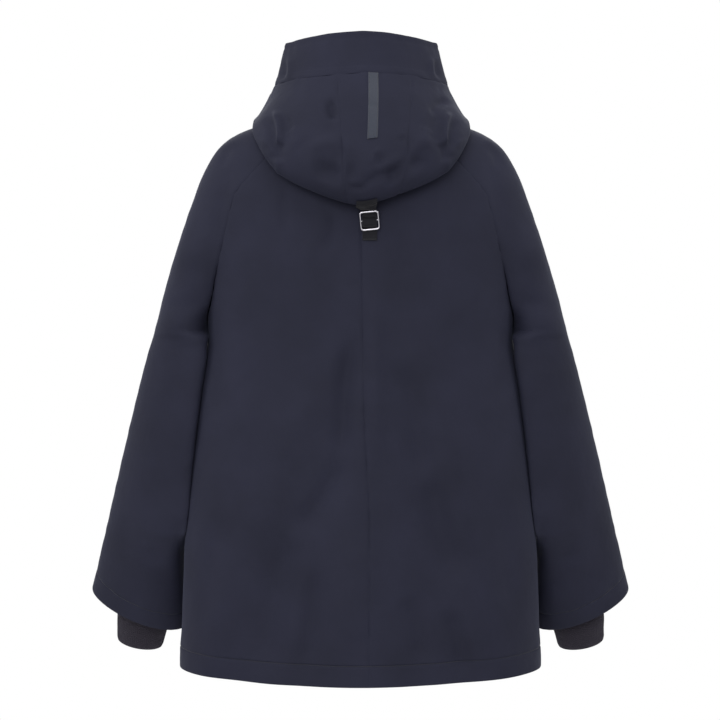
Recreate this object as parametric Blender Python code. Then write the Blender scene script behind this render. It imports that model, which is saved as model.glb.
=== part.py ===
"""A hooded parka with raglan sleeves, hollow and filled out as if worn, its hood lying back.

Every cloth piece is a thin wall laid through rows of named sizes. The origin is the centre of the
neck's base, where the wearer carries it. +Z is up, the front faces -Y and the wearer's left is +X.
The tables are in millimetres and degrees, and the meshes in metres.
"""

import math

import bmesh
import bpy
import numpy as np
from mathutils import Matrix, Vector

MM = 0.001

# Driving sizes, in millimetres.
CLOTH = 2.0  # shell cloth with its inner layer
RIB = 2.6  # knitted cuff
WEB = 1.6  # webbing of the strap
TAPE = 1.0  # flat tape on the hood, and the zip's tapes
SEAM_GAP = 0.3  # between neighbouring pieces
ZIP_EDGE = 4.0  # from the centre front to a front panel's edge
ACROSS = 8  # steps across each half of the trunk and across each half sleeve
HOOD_ACROSS = 11  # steps across each side panel of the hood

# The row at which the armhole ends, and the last rows of the trunk and of the sleeve.
UNDERARM_ROW = 10
HEM_ROW = 18
CUFF_ROW = 17
FOLD_ROWS = (10.4, 14.6, 15.3)  # extra rows where the sleeve's inner fold turns

# The neck's seam: half its width, how far it reaches back and forward, and its height by the angle
# from the centre back.
NECK_HALF_WIDTH = 85
NECK_BACK = 75
NECK_FRONT = 88
NECK_ANGLES = (0, 45, 90, 127, 180)
NECK_HEIGHTS = (5, 12, 18, -8, -75)

# The trunk, a row per level. "mid" is the height at the centre and "edge" at the armhole or side
# seam, "reach" the section's half width, "depth" how far it stands off the line between the sides,
# "middle" where that line lies, "square" the section's exponent, where 2 is an ellipse, "seam_x" where
# the armhole seam crosses the row and "valley" how sharply the sleeve turns out of the trunk there.
TRUNK_COLUMNS = ("row", "mid", "edge", "reach", "depth", "middle", "square", "seam_x", "valley")
BACK_ROWS = [
    (0, 5, 12, NECK_HALF_WIDTH, NECK_BACK, 0, 2.25, 60, 0),
    (1, -14, -4, 131, 88, 0, 2.25, 82, 0),
    (2, -34, -22, 167, 99, 0, 2.25, 105, 0),
    (3, -60, -46, 197, 110, 0, 2.25, 130, 0),
    (4, -88, -75, 219, 118, 0, 2.25, 156, 0),
    (5, -114, -104, 232, 124, 0, 2.25, 179, 2),
    (6, -150, -144, 235, 127, 1, 2.25, 189, 8),
    (7, -186, -182, 232, 127, 4, 2.3, 198, 37),
    (8, -216, -214, 227, 125, 7, 2.42, 205, 69),
    (9, -252, -252, 222, 123, 11, 2.55, 212, 130),
    (10, -295, -295, 219, 122, 14, 2.6, 219, 180),
    (11, -345, -345, 228, 124, 17, 2.4, 228, 180),
    (12, -400, -400, 235, 129, 19, 2.3, 235, 180),
    (13, -460, -460, 241, 134, 21, 2.25, 241, 180),
    (14, -525, -525, 247, 140, 22, 2.25, 247, 180),
    (15, -595, -593, 252, 145, 23, 2.25, 252, 180),
    (16, -665, -661, 255, 149, 24, 2.25, 255, 180),
    (17, -730, -723, 257, 152, 25, 2.25, 257, 180),
    (18, -782, -773, 259, 154, 25, 2.25, 259, 180),
]
FRONT_ROWS = [
    (0, -75, -8, NECK_HALF_WIDTH, NECK_FRONT, 0, 2.25, 68, 0),
    (1, -90, -26, 131, 97, 0, 2.25, 90, 0),
    (2, -106, -48, 167, 105, 0, 2.25, 113, 0),
    (3, -124, -72, 193, 112, 0, 2.25, 135, 0),
    (4, -143, -98, 209, 118, 0, 2.25, 156, 0),
    (5, -163, -127, 220, 122, 0, 2.25, 173, 2),
    (6, -186, -158, 227, 127, 1, 2.25, 185, 8),
    (7, -208, -190, 228, 133, 4, 2.3, 196, 37),
    (8, -229, -218, 225, 138, 7, 2.42, 204, 69),
    (9, -257, -254, 221, 144, 11, 2.55, 212, 130),
    (10, -295, -295, 219, 149, 14, 2.6, 219, 180),
    (11, -345, -345, 228, 153, 17, 2.4, 228, 180),
    (12, -400, -400, 235, 157, 19, 2.3, 235, 180),
    (13, -460, -460, 241, 161, 21, 2.25, 241, 180),
    (14, -525, -525, 247, 165, 22, 2.25, 247, 180),
    (15, -593, -593, 252, 170, 23, 2.25, 252, 180),
    (16, -660, -661, 255, 176, 24, 2.25, 255, 180),
    (17, -721, -723, 257, 182, 25, 2.25, 257, 180),
    (18, -770, -773, 259, 186, 25, 2.25, 259, 180),
]

# The centre-back seam wanders a little to the wearer's right: height and x.
BACK_SEAM_COLUMNS = ("drop", "x")
BACK_SEAM = [(0, 0), (170, -1), (300, -3), (400, -5), (490, -9), (550, -12), (790, -12)]

# The over-arm seam from the neck to the sleeve's hem, and the pull of the curves that join it to the
# armhole seams, or to the underarm seam below them: at the inner end of each half and over the arm.
SLEEVE_COLUMNS = ("row", "over_x", "over_y", "over_z", "back_pull", "front_pull", "over_pull")
SLEEVE_ROWS = [
    (0, 88, 0, 18, 22, 22, 22),
    (1, 130, -2, 9, 31, 31, 31),
    (2, 166, -3, -3, 37, 37, 37),
    (3, 196, -3, -20, 41, 41, 41),
    (4, 217, -3, -46, 42, 42, 42),
    (5, 233, -4, -79, 43, 43, 42),
    (6, 250, -5, -125, 50, 50, 47),
    (7, 265, -6, -172, 56, 56, 55),
    (8, 277, -7, -210, 43, 43, 46),
    (9, 289, -9, -252, 18, 18, 76),
    (10, 301, -12, -298, 94, 85, 80),
    (10.2, 304, -13, -308, 61, 110, 78.5),
    (10.4, 307, -14, -318.5, 40, 136, 77),
    (11, 316, -18, -350, 41, 145, 73),
    (12, 331, -28, -404, 43, 172, 66),
    (13, 346, -40, -462, 35, 190, 66),
    (14, 361, -54, -521, 22, 205, 64),
    (14.6, 370, -63, -556.5, 20, 222, 61.6),
    (15, 376, -69, -580, 60, 193, 60),
    (15.3, 380.5, -73, -597, 120, 143, 58.5),
    (16, 391, -83, -637, 124, 132, 55),
    (17, 401, -92, -675, 118, 118, 50),
]
# The underarm seam, the ring's direction there, and the fall of the ring's back edge.
UNDERARM_COLUMNS = ("row", "under_x", "under_y", "under_z", "turn", "fall")
UNDERARM_ROWS = [
    (10, 219.3, 14, -295, 90, 0),
    (10.2, 220, 43, -305, 107, 0),
    (10.4, 220.6, 56, -316, 108, 1),
    (10.7, 221.8, 58, -334, 112, 2),
    (11, 224.4, 58, -352, 109, 3),
    (12, 232.2, 58, -412, 105, 8),
    (13, 239.2, 58, -475, 103, 13),
    (14, 245.4, 60, -540, 101, 17),
    (14.6, 250.2, 54, -579, 99, 19),
    (14.8, 253.4, 33, -592, 94, 19.5),
    (15, 254.2, 5, -605, 88, 20),
    (15.3, 248, -45, -624.5, 87, 20.6),
    (16, 246, -72, -669, 86, 22),
    (17, 246, -96, -714, 85, 23),
]

# Soft folds in the skirt of the back, a row each: its x at the top and at the hem, its width at the
# hem, and its depth there, outwards when above zero.
BACK_FOLDS = [
    (10, 150, 34, -7),
    (14, 75, 26, -3),
    (-8, 0, 60, 5),
    (-42, -122, 30, -7),
    (-40, -80, 24, -3),
    (60, 205, 30, 4),
    (-70, -190, 30, 4),
]
FOLD_TOP = 300  # how far down the folds begin
FOLD_FULL = 720  # how far down they are full
FOLD_START = 0.45  # a fold's width at the top, as a part of its width at the hem

# The hood, a row per angle round the neck from the centre back. Each column pair is a radius and a
# height on the way from the neck's seam up the stand, down over the back, round the bottom of the
# pouch and up its outside to the brim's seam and the rim.
HOOD_POINTS = (
    "neck", "stand", "turn", "lie", "low", "fold", "swell", "belly", "throat", "seam", "band", "rim",
)
HOOD_ANGLES = (0, 8, 20, 40, 60, 75, 90, 110, 135, 160, 180)
HOOD_RADII = {
    "stand": (80, 80, 80, 82, 85, 88, 91, 93, 93, 93, 93),
    "turn": (92, 92, 93, 96, 101, 105, 109, 103, 99, 96, 95),
    "lie": (108, 109, 112, 119, 126, 130, 131, 114, 104, 98, 96),
    "low": (125, 126, 129, 136, 144, 144, 143, 121, 107, 99, 97),
    "fold": (147, 149, 152, 160, 161, 155, 151, 127, 110, 100, 98),
    "swell": (174, 175, 177, 179, 171, 159, 152, 130, 112, 101, 98),
    "belly": (179, 179, 179, 176, 163, 151, 145, 129, 113, 102, 99),
    "throat": (153, 152, 150, 145, 138, 135, 135, 123, 111, 102, 99),
    "seam": (120, 119, 118, 117, 119, 122, 125.5, 119, 109, 102, 100),
    "band": (108, 107, 106, 106, 109, 113, 117, 113, 106, 102, 101),
    "rim": (100, 98.5, 97, 97, 100, 104, 110, 108, 104, 102, 102),
}
HOOD_HEIGHTS = {
    "stand": (26, 26, 27, 29, 31, 33, 34, 22, -4, -38, -52),
    "turn": (30, 30, 31, 32, 33, 34, 35, 24, 0, -32, -46),
    "lie": (-10, -9, -6, 4, 19, 25, 27, 20, 3, -26, -39),
    "low": (-75, -71, -64, -40, -2, 12, 16, 16, 5, -20, -33),
    "fold": (-122, -117, -104, -76, -26, 3, 10, 15, 7, -14, -27),
    "swell": (-101, -97, -87, -61, -18, 6, 14, 20, 10, -8, -20),
    "belly": (-50, -47, -42, -26, 0, 15, 23, 29, 17, -1, -12),
    "throat": (15, 16, 17, 22, 32, 38, 43, 42, 27, 9, -2),
    "seam": (66, 65.5, 65, 64, 63, 63, 64, 59, 42, 21, 9),
    "band": (97, 96.5, 96, 94, 94, 94, 94, 88, 68, 46, 34),
    "rim": (127, 126.5, 126, 124, 123, 123, 124, 118, 98, 72, 58),
}
# The centre panel, at the neck, the low edge, the fold, the belly and the brim's seam: the angle of
# its middle, which lies to the wearer's right, and half its width as an angle.
PANEL_STATIONS = (0, 4, 5, 7, 9)
PANEL_MIDDLE = (-5.5, -5, -5, -5.3, -9)
PANEL_HALF = (24, 13, 11.5, 13, 24)
POUCH_SHIFT = -2.5  # the back of the hood lies this far to the wearer's right
POUCH_SKEW = 7.5  # makes the pouch's left half hang a little lower than its right
SEAM_STATION = 9  # the place of the brim's seam in HOOD_POINTS
RIM_STATION = 11

# The tape on the hood.
TAPE_WIDTH = 12.8
TAPE_END = 7.26  # the station of its lower end
TAPE_ANGLES = (-4, -6.5)  # round the hood from its centre back, at its lower end and at the brim's seam
TAPE_LIFT = 0.5  # off the hood

# The knitted cuffs: the sleeve rows between which each is sewn in, the lean of its rings outwards and
# their fall backwards, then a row per ring below: its middle's x, y and z, half its width and depth.
CUFF_SEAM_ROWS = (16, 16.12)
CUFF_LEAN = 10
CUFF_FALL = 13
CUFF_ROWS = [
    (320, -90, -678, 60, 50),
    (322, -92, -694, 44, 41),
    (324, -94, -708, 40, 38),
    (327, -99, -732, 38, 36),
    (331, -106, -757, 34.5, 34),
]

# The strap, its tab and the slide ring below the hood.
STRAP_WIDTH = 24.5
STRAP_NARROW = 20.5  # where it is drawn through the ring
STRAP_ANGLE = -1.9  # where it is sewn to the hood
STRAP_STATIONS = (5.8, 5.65, 5.5, 5.3, 5.15)
STRAP_LIFT = 1.2  # off the hood's outer face
TAB_END = -169  # height at which the tab is sewn down
TAB_LIFT = 0.5  # off the back
RING_X = -12.5
RING_HEIGHT = -142
RING_STAND = 9.5  # from the back panel to the ring's middle
RING_LEAN = 12  # its top leans away from the back
RING_TWIST = 5.5
RING_SIZE = 29.5
RING_WIRE = 3.2
RING_CORNER = 4
BAR_WIRE = 2.6
BAR_SET_BACK = 1

# The front zip: the tapes lie under the fronts' edges, with the chain between them.
TAPE_INNER = 3.6  # from the centre front
TAPE_OUTER = 13
TAPE_THICK = 0.8
TAPE_DEPTH = CLOTH + 7 * SEAM_GAP  # clears the fronts' inner faces where they twist at the neck
CHAIN_HALF = 2.9
CHAIN_DEPTH = 0.9
CHAIN_THICK = 2.6
ZIP_ROWS = (0.6, 1.3, 2, 3, 4, 5.1, 6.1, 7, 8, 9, 10, 10.6)  # the zip's stations up the hood

# The slider has two plates joined by a post above the chain's end, and a bail on the front plate.
PLATE_HALF_WIDTH = 4.6
PLATE_BELOW = 7  # below the chain's end
PLATE_ABOVE = 5
PLATE_THICK = 1.2
PLATE_BACK = 5.5  # how deep the rear plate lies, behind the tapes
POST_HALF_WIDTH = 1.2
BAIL_HALF_WIDTH = 0.9
BAIL_HALF_HEIGHT = 4.2
BAIL_REACH = 4.6
BAIL_WIRE = 1.2

# The pull tab is a plate whose window hangs on the bail.
PULL_STAND = 1.5  # from the slider's plate to the pull's bar
PULL_PLAY = 0.5  # between the pull's bar and the bail below it, so that it can turn
PULL_THICK = 1.6
PULL_WIDTH = 7
PULL_LENGTH = 32
PULL_WINDOW = 3.8
PULL_WINDOW_LENGTH = 8.2
PULL_CORNER = 1.6


def spline(keys, values, at, level_ends=False):
    """The value at each place on a smooth curve through the rows, which never swings past them."""
    keys = np.asarray(keys, float)
    values = np.asarray(values, float)
    at = np.clip(np.asarray(at, float), keys[0], keys[-1])
    gaps = np.diff(keys)
    slopes = np.diff(values) / gaps
    tangents = np.zeros(len(keys))
    if not level_ends:
        tangents[0], tangents[-1] = slopes[0], slopes[-1]
    for index in range(1, len(keys) - 1):
        before, after = slopes[index - 1], slopes[index]
        if before * after > 0:
            tangents[index] = 2 * before * after / (before + after)
    left = np.clip(np.searchsorted(keys, at, side="right") - 1, 0, len(keys) - 2)
    gap = gaps[left]
    part = (at - keys[left]) / gap
    start, end = values[left], values[left + 1]
    lift = tangents[left] * gap
    land = tangents[left + 1] * gap
    return (
        start * (1 + 2 * part) * (1 - part) ** 2
        + lift * part * (1 - part) ** 2
        + end * part**2 * (3 - 2 * part)
        - land * part**2 * (1 - part)
    )


class Table:
    """Rows with named columns, read smoothly by the first column."""

    def __init__(self, columns, rows):
        self.data = {name: [row[place] for row in rows] for place, name in enumerate(columns)}
        self.keys = self.data[columns[0]]

    def __call__(self, name, at):
        return spline(self.keys, self.data[name], at)


def trunk_table(rows):
    """A face of the trunk, with the angle round each section at which the armhole or side seam lies."""
    table = Table(TRUNK_COLUMNS, rows)
    columns = (np.array(table.data[name], float) for name in ("seam_x", "reach", "square"))
    seam_x, reach, square = columns
    table.data["seam_angle"] = np.arcsin(np.clip(seam_x / reach, 0, 1) ** (square / 2))
    return table


BACK = trunk_table(BACK_ROWS)
FRONT = trunk_table(FRONT_ROWS)
SLEEVE = Table(SLEEVE_COLUMNS, SLEEVE_ROWS)
UNDERARM = Table(UNDERARM_COLUMNS, UNDERARM_ROWS)
SEAM_LINE = Table(BACK_SEAM_COLUMNS, BACK_SEAM)


def unit(vectors):
    return vectors / np.maximum(np.linalg.norm(vectors, axis=-1, keepdims=True), 1e-9)


def smooth_step(value):
    value = np.clip(value, 0, 1)
    return value * value * (3 - 2 * value)


def back_fold(x, z):
    """How far the skirt's soft folds move the back out, in millimetres."""
    down = (-z - FOLD_TOP) / (FOLD_FULL - FOLD_TOP)
    grown = smooth_step(down)
    moved = np.zeros_like(x)
    for top_x, hem_x, width, depth in BACK_FOLDS:
        line = top_x + (hem_x - top_x) * down
        spread = width * (FOLD_START + (1 - FOLD_START) * np.clip(down, 0, 1))
        moved = moved + depth * np.exp(-(((x - line) / spread) ** 2))
    return moved * grown


def trunk(face, across, row, side):
    """Points of the trunk's outer face. face is BACK or FRONT, and across runs from 0, the centre, to 1."""
    across, row = np.broadcast_arrays(np.asarray(across, float), np.asarray(row, float))
    reach = face("reach", row)
    mid, edge = face("mid", row), face("edge", row)
    if face is BACK:
        start_x = side * SEAM_LINE("x", -mid)
    else:
        start_x = np.full_like(reach, ZIP_EDGE)
    half_power = face("square", row) / 2
    start = np.arcsin(np.abs(start_x / reach) ** half_power) * np.sign(start_x)
    end = face("seam_angle", row)
    seam_x = reach * np.sin(end) ** (1 / half_power)
    angle = start + (end - start) * across
    x = reach * np.abs(np.sin(angle)) ** (1 / half_power) * np.sign(angle)
    out = face("depth", row) * np.abs(np.cos(angle)) ** (1 / half_power)
    z = mid + (edge - mid) * np.clip(x / seam_x, 0, 1) ** 2
    if face is BACK:
        y = face("middle", row) + out + back_fold(side * x, z)
    else:
        y = face("middle", row) - out
    return np.stack([side * x, y, z], axis=-1)


def armhole(face, row, side):
    """The armhole seam's points on the sleeve, and the direction in which the sleeve leaves it."""
    row = np.asarray(row, float)
    point = trunk(face, 1.0, row, side)
    along = unit(point - trunk(face, 0.985, row, side))
    down = unit(trunk(face, 1.0, row + 0.02, side) - trunk(face, 1.0, row - 0.02, side))
    out = unit(np.cross(along, down))
    facing = 1.0 if face is BACK else -1.0
    out = out * np.sign(out[..., 1:2] * facing + out[..., 0:1] * side)
    valley = np.radians(face("valley", row))[..., None]
    gap = SEAM_GAP * (along * np.cos(valley / 2) + out * np.sin(valley / 2))
    return point + gap, unit(along * np.cos(valley) + out * np.sin(valley))


def underarm(face, row, side):
    """The underarm seam's points and the sleeve ring's direction there."""
    row = np.asarray(row, float)
    point = np.stack(
        [side * UNDERARM("under_x", row), UNDERARM("under_y", row), UNDERARM("under_z", row)], axis=-1
    )
    turn = np.radians(UNDERARM("turn", row))
    facing = 1.0 if face is BACK else -1.0
    heading = np.stack([side * facing * np.cos(turn), facing * np.sin(turn), np.zeros_like(turn)], axis=-1)
    return point, heading


def sleeve(face, across, row, side):
    """Points of half a sleeve, from its inner seam, where across is 0, to the over-arm seam."""
    across, row = np.broadcast_arrays(np.asarray(across, float), np.asarray(row, float))
    upper_point, upper_heading = armhole(face, np.minimum(row, UNDERARM_ROW), side)
    lower_point, lower_heading = underarm(face, np.maximum(row, UNDERARM_ROW), side)
    above = (row < UNDERARM_ROW)[..., None]
    start = np.where(above, upper_point, lower_point)
    heading = np.where(above, upper_heading, lower_heading)
    over = np.stack(
        [side * SLEEVE("over_x", row), SLEEVE("over_y", row), SLEEVE("over_z", row)], axis=-1
    )
    facing = 1.0 if face is BACK else -1.0
    pull = SLEEVE("back_pull" if face is BACK else "front_pull", row)
    first = start + heading * pull[..., None]
    second = over + np.array([0.0, facing, 0.0]) * SLEEVE("over_pull", row)[..., None]
    part = across[..., None]
    point = (
        start * (1 - part) ** 3
        + 3 * first * part * (1 - part) ** 2
        + 3 * second * part**2 * (1 - part)
        + over * part**3
    )
    straight = start[..., 1] + (over[..., 1] - start[..., 1]) * across
    fall = np.tan(np.radians(UNDERARM("fall", np.maximum(row, UNDERARM_ROW))))
    point[..., 2] -= fall * (point[..., 1] - straight)
    return point


def neckline(angle):
    """The neck seam at an angle from the centre back: x, y and height."""
    turn = np.radians(angle)
    y = np.where(np.cos(turn) > 0, NECK_BACK, NECK_FRONT) * np.cos(turn)
    height = spline(NECK_ANGLES, NECK_HEIGHTS, np.abs(angle))
    return NECK_HALF_WIDTH * np.sin(turn), y, height


def hood(angle, station):
    """Points of the hood's outer face. station runs through HOOD_POINTS, 0 at the neck's seam."""
    angle, station = np.broadcast_arrays(np.asarray(angle, float), np.asarray(station, float))
    neck_x, neck_y, neck_z = neckline(angle)
    turned = np.clip(np.abs(angle), 0, 180)
    radii = [np.hypot(neck_x, neck_y)]
    heights = [neck_z + 2 * SEAM_GAP]
    for name in HOOD_POINTS[1:]:
        radii.append(spline(HOOD_ANGLES, HOOD_RADII[name], turned, level_ends=True))
        heights.append(spline(HOOD_ANGLES, HOOD_HEIGHTS[name], turned, level_ends=True))
    radii = np.stack(radii)
    heights = np.stack(heights)
    radius = chain(radii, station)
    height = chain(heights, station)
    turn = np.arctan2(neck_x, neck_y)
    away = smooth_step(station / 4) * smooth_step((RIM_STATION - station) / 4)
    height = height - POUCH_SKEW * np.sin(turn) * np.maximum(np.cos(turn), 0) ** 6 * away
    x = radius * np.sin(turn) + POUCH_SHIFT * smooth_step(station / 4) * (1 + np.cos(turn)) / 2
    return np.stack([x, radius * np.cos(turn), height], axis=-1)


def chain(values, station):
    """A smooth curve through the values along the first axis, read at each station."""
    last = len(values) - 1
    station = np.clip(station, 0, last)
    left = np.minimum(np.floor(station).astype(int), last - 1)
    part = station - left

    def pick(place):
        place = np.clip(place, 0, last)
        return np.take_along_axis(values, place[None], axis=0)[0]

    before, start, end, after = pick(left - 1), pick(left), pick(left + 1), pick(left + 2)
    lift = (end - before) / 2
    land = (after - start) / 2
    return (
        start * (1 + 2 * part) * (1 - part) ** 2
        + lift * part * (1 - part) ** 2
        + end * part**2 * (3 - 2 * part)
        - land * part**2 * (1 - part)
    )


def normals_of(surface, columns, rows, outward):
    """Unit normals of a surface at a grid of places; outward is 1 or -1, by the way it is laid."""
    column_step = 0.002 * max(np.ptp(columns), 0.5)
    left = np.maximum(columns - column_step, columns.min())
    right = np.minimum(columns + column_step, max(columns.max(), columns.min() + column_step))
    above, below = np.maximum(rows - 0.01, 0), rows + 0.01
    across = surface(right, rows) - surface(left, rows)
    down = surface(columns, below) - surface(columns, above)
    return unit(np.cross(across, down)) * outward


def make_material(name, colour, roughness, metallic=0.0):
    material = bpy.data.materials.new(name)
    material.use_nodes = True
    shader = material.node_tree.nodes["Principled BSDF"]
    shader.inputs["Base Color"].default_value = (*colour, 1.0)
    shader.inputs["Roughness"].default_value = roughness
    shader.inputs["Metallic"].default_value = metallic
    material.diffuse_color = (*colour, 1.0)
    return material


def add_object(name, mesh_builder, material):
    """Puts a bmesh, built in millimetres, into the scene as one object in metres."""
    bmesh.ops.recalc_face_normals(mesh_builder, faces=mesh_builder.faces)
    bmesh.ops.scale(mesh_builder, vec=(MM, MM, MM), verts=mesh_builder.verts)
    mesh = bpy.data.meshes.new(name)
    mesh_builder.to_mesh(mesh)
    mesh_builder.free()
    mesh.materials.append(material)
    mesh.shade_smooth()
    mesh.set_sharp_from_angle(angle=math.radians(50))
    made = bpy.data.objects.new(name, mesh)
    bpy.context.scene.collection.objects.link(made)
    return made


def wall(name, outer, inner, material, ring=False):
    """A closed wall between two grids of points, open along its edges or joined round as a ring."""
    mesh_builder = bmesh.new()
    rows, columns = outer.shape[:2]
    layers = [
        [[mesh_builder.verts.new(point) for point in row] for row in grid] for grid in (outer, inner)
    ]
    steps = columns if ring else columns - 1
    for top in range(rows - 1):
        for left in range(steps):
            right = (left + 1) % columns
            for layer in layers:
                corners = (layer[top][left], layer[top][right], layer[top + 1][right], layer[top + 1][left])
                mesh_builder.faces.new(corners)
    for row in (0, rows - 1):
        for left in range(steps):
            right = (left + 1) % columns
            mesh_builder.faces.new(
                (layers[0][row][left], layers[0][row][right], layers[1][row][right], layers[1][row][left])
            )
    if not ring:
        for column in (0, columns - 1):
            for top in range(rows - 1):
                mesh_builder.faces.new(
                    (
                        layers[0][top][column],
                        layers[0][top + 1][column],
                        layers[1][top + 1][column],
                        layers[1][top][column],
                    )
                )
    return add_object(name, mesh_builder, material)


def draw_in(grid, left=0.0, right=0.0, top=0.0, bottom=0.0):
    """Shortens a grid at its edges by these many millimetres, along the grid's own lines."""
    grid = grid.copy()
    if left:
        grid[:, 0] += unit(grid[:, 1] - grid[:, 0]) * left
    if right:
        grid[:, -1] += unit(grid[:, -2] - grid[:, -1]) * right
    if top:
        grid[0] += unit(grid[1] - grid[0]) * top
    if bottom:
        grid[-1] += unit(grid[-2] - grid[-1]) * bottom
    return grid


def panel(name, surface, columns, rows, outward, material, gaps):
    """A cloth panel: the outer face from the surface's points, and the inner one a cloth below it."""
    columns, rows = np.meshgrid(columns, rows)
    outer = draw_in(surface(columns, rows), **gaps)
    inner = outer - normals_of(surface, columns, rows, outward) * CLOTH
    return wall(name, outer, inner, material)


def build_trunk(shell):
    half = SEAM_GAP / 2
    across = np.linspace(0, 1, ACROSS + 1)
    rows = np.arange(HEM_ROW + 1)
    for label, side in (("left", 1), ("right", -1)):
        panel(
            f"back_{label}",
            lambda u, v, side=side: trunk(BACK, u, v, side),
            across, rows, side, shell, {"left": half, "right": half},
        )
        panel(
            f"front_{label}",
            lambda u, v, side=side: trunk(FRONT, u, v, side),
            across, rows, -side, shell, {"right": half},
        )


def build_sleeves(shell):
    half = SEAM_GAP / 2
    across = np.linspace(0, 1, ACROSS + 1)
    rows = np.sort(np.append(np.arange(CUFF_ROW + 1), FOLD_ROWS))
    for label, side in (("left", 1), ("right", -1)):
        for face_name, face, facing in (("back", BACK, 1), ("front", FRONT, -1)):
            panel(
                f"sleeve_{face_name}_{label}",
                lambda u, v, face=face, side=side: sleeve(face, u, v, side),
                across, rows, side * facing, shell, {"left": half, "right": half},
            )


def front_angle():
    """The angle at which the hood ends beside the zip."""
    return 180 - math.degrees(math.asin(ZIP_EDGE / HOOD_RADII["lie"][-1]))


def panel_edge(station, side):
    """The angle of a seam of the hood's centre panel, on the left (1) or the right (-1)."""
    return spline(PANEL_STATIONS, PANEL_MIDDLE, station) + side * spline(PANEL_STATIONS, PANEL_HALF, station)


def hood_centre(across, station):
    right, left = panel_edge(station, -1), panel_edge(station, 1)
    return hood(right + (left - right) * across, station)


def hood_side(across, station, side):
    """A side panel, from the centre panel's seam, where across is 0, to the front."""
    start = panel_edge(station, side)
    return hood(start + (side * front_angle() - start) * across, station)


def build_hood(shell):
    half = SEAM_GAP / 2
    below = np.array([0, 0.6, 1.3, 2, 3, 4, 4.7, 5.1, 5.5, 6.1, 7, 8, SEAM_STATION])
    above = np.linspace(SEAM_STATION, RIM_STATION, 4)
    centre = np.linspace(0, 1, 5)
    side_steps = np.linspace(0, 1, HOOD_ACROSS + 1)
    left, right = panel_edge(SEAM_STATION, 1), panel_edge(SEAM_STATION, -1)
    left_angles = left + (front_angle() - left) * side_steps
    right_angles = right + (-front_angle() - right) * side_steps
    around = np.concatenate([right_angles[::-1], (right + (left - right) * centre)[1:-1], left_angles])
    panel("hood_centre", hood_centre, centre, below, -1, shell, {"left": half, "right": half, "bottom": half})
    for label, side in (("left", 1), ("right", -1)):
        panel(
            f"hood_side_{label}",
            lambda u, v, side=side: hood_side(u, v, side),
            side_steps, below, -side, shell, {"left": half, "bottom": half},
        )
    panel("hood_brim", hood, around, above, -1, shell, {"top": half})


def build_tape(material):
    """The flat tape that hangs from the brim's seam down the middle of the hood."""
    stations = np.linspace(TAPE_END, SEAM_STATION - 0.03, 7)
    across, stations = np.meshgrid(np.linspace(-1, 1, 4), stations)

    def face(place, station):
        middle = spline((TAPE_END, SEAM_STATION), TAPE_ANGLES, station)
        radius = np.hypot(*np.moveaxis(hood(middle, station)[..., :2], -1, 0))
        return hood(middle + place * np.degrees(np.arcsin(TAPE_WIDTH / 2 / radius)), station)

    under = face(across, stations)
    out = normals_of(face, across, stations, -1)
    wall("hood_tape", under + out * (TAPE_LIFT + TAPE), under + out * TAPE_LIFT, material)


def build_cuffs(material):
    """The knitted cuffs: each flares at the top to meet the sleeve, where it is sewn in."""
    around = np.linspace(0, 1, 2 * ACROSS + 1)[:-1]
    for label, side in (("left", 1), ("right", -1)):
        rings = [sleeve_lining(around, row, side) for row in CUFF_SEAM_ROWS]
        for x, y, z, wide, deep in CUFF_ROWS:
            turn = math.pi - 2 * math.pi * around
            lean, fall = math.radians(CUFF_LEAN), math.radians(CUFF_FALL)
            outward = np.array([side * math.cos(lean), 0, math.sin(lean)])
            backward = np.array([0, math.cos(fall), -math.sin(fall)])
            centre = np.array([side * x, y, z])
            ring = centre + np.outer(np.cos(turn) * wide, outward) + np.outer(np.sin(turn) * deep, backward)
            rings.append(ring)
        outer = np.stack(rings)
        along = np.gradient(outer, axis=0)
        round_ring = np.roll(outer, -1, axis=1) - np.roll(outer, 1, axis=1)
        inward = unit(np.cross(along, round_ring)) * side
        wall(f"cuff_{label}", outer, outer + inward * RIB, material, ring=True)


def sleeve_lining(around, row, side):
    """A ring just inside the sleeve: back half from the underarm seam out, front half in again."""
    back = around <= 0.5
    across = np.where(back, 2 * around, 2 - 2 * around)
    rows = np.full_like(around, row)
    points = np.where(back[:, None], sleeve(BACK, across, rows, side), sleeve(FRONT, across, rows, side))
    out_back = normals_of(lambda u, v: sleeve(BACK, u, v, side), across, rows, side)
    out_front = normals_of(lambda u, v: sleeve(FRONT, u, v, side), across, rows, -side)
    return points - np.where(back[:, None], out_back, out_front) * (CLOTH + 2 * SEAM_GAP)


def back_surface(z):
    """How far back the centre of the back lies at a height."""
    rows = np.array([(row[1], row[4] + row[5]) for row in BACK_ROWS], float)[::-1]
    return spline(rows[:, 0], rows[:, 1], z)


def webbing(name, lines, material):
    """A strap through lines that run side by side along it, each a list of x, y and z."""
    grid = np.stack(lines, axis=1)
    along = np.gradient(grid[:, 1], axis=0)
    out = unit(np.cross(along, grid[:, -1] - grid[:, 0]))[:, None]
    wall(name, grid + out * WEB / 2, grid - out * WEB / 2, material)


def beside(centre_line, widths, place):
    """A line of a strap that lies flat across x: its middle for a place of 0, its edges for -1 and 1."""
    line = np.asarray(centre_line, float)
    return line + np.outer(np.broadcast_to(widths, len(line)), (0.5 * place, 0, 0))


def strap_on_hood(stations, place):
    """The same line of the strap where it lies on the hood."""
    stations = np.asarray(stations, float)
    radius = np.hypot(*np.moveaxis(hood(STRAP_ANGLE, stations)[..., :2], -1, 0))
    angles = STRAP_ANGLE + place * np.degrees(STRAP_WIDTH / 2 / radius)
    return hood(angles, stations) + normals_of(hood, angles, stations, -1) * (STRAP_LIFT + WEB / 2)


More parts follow.
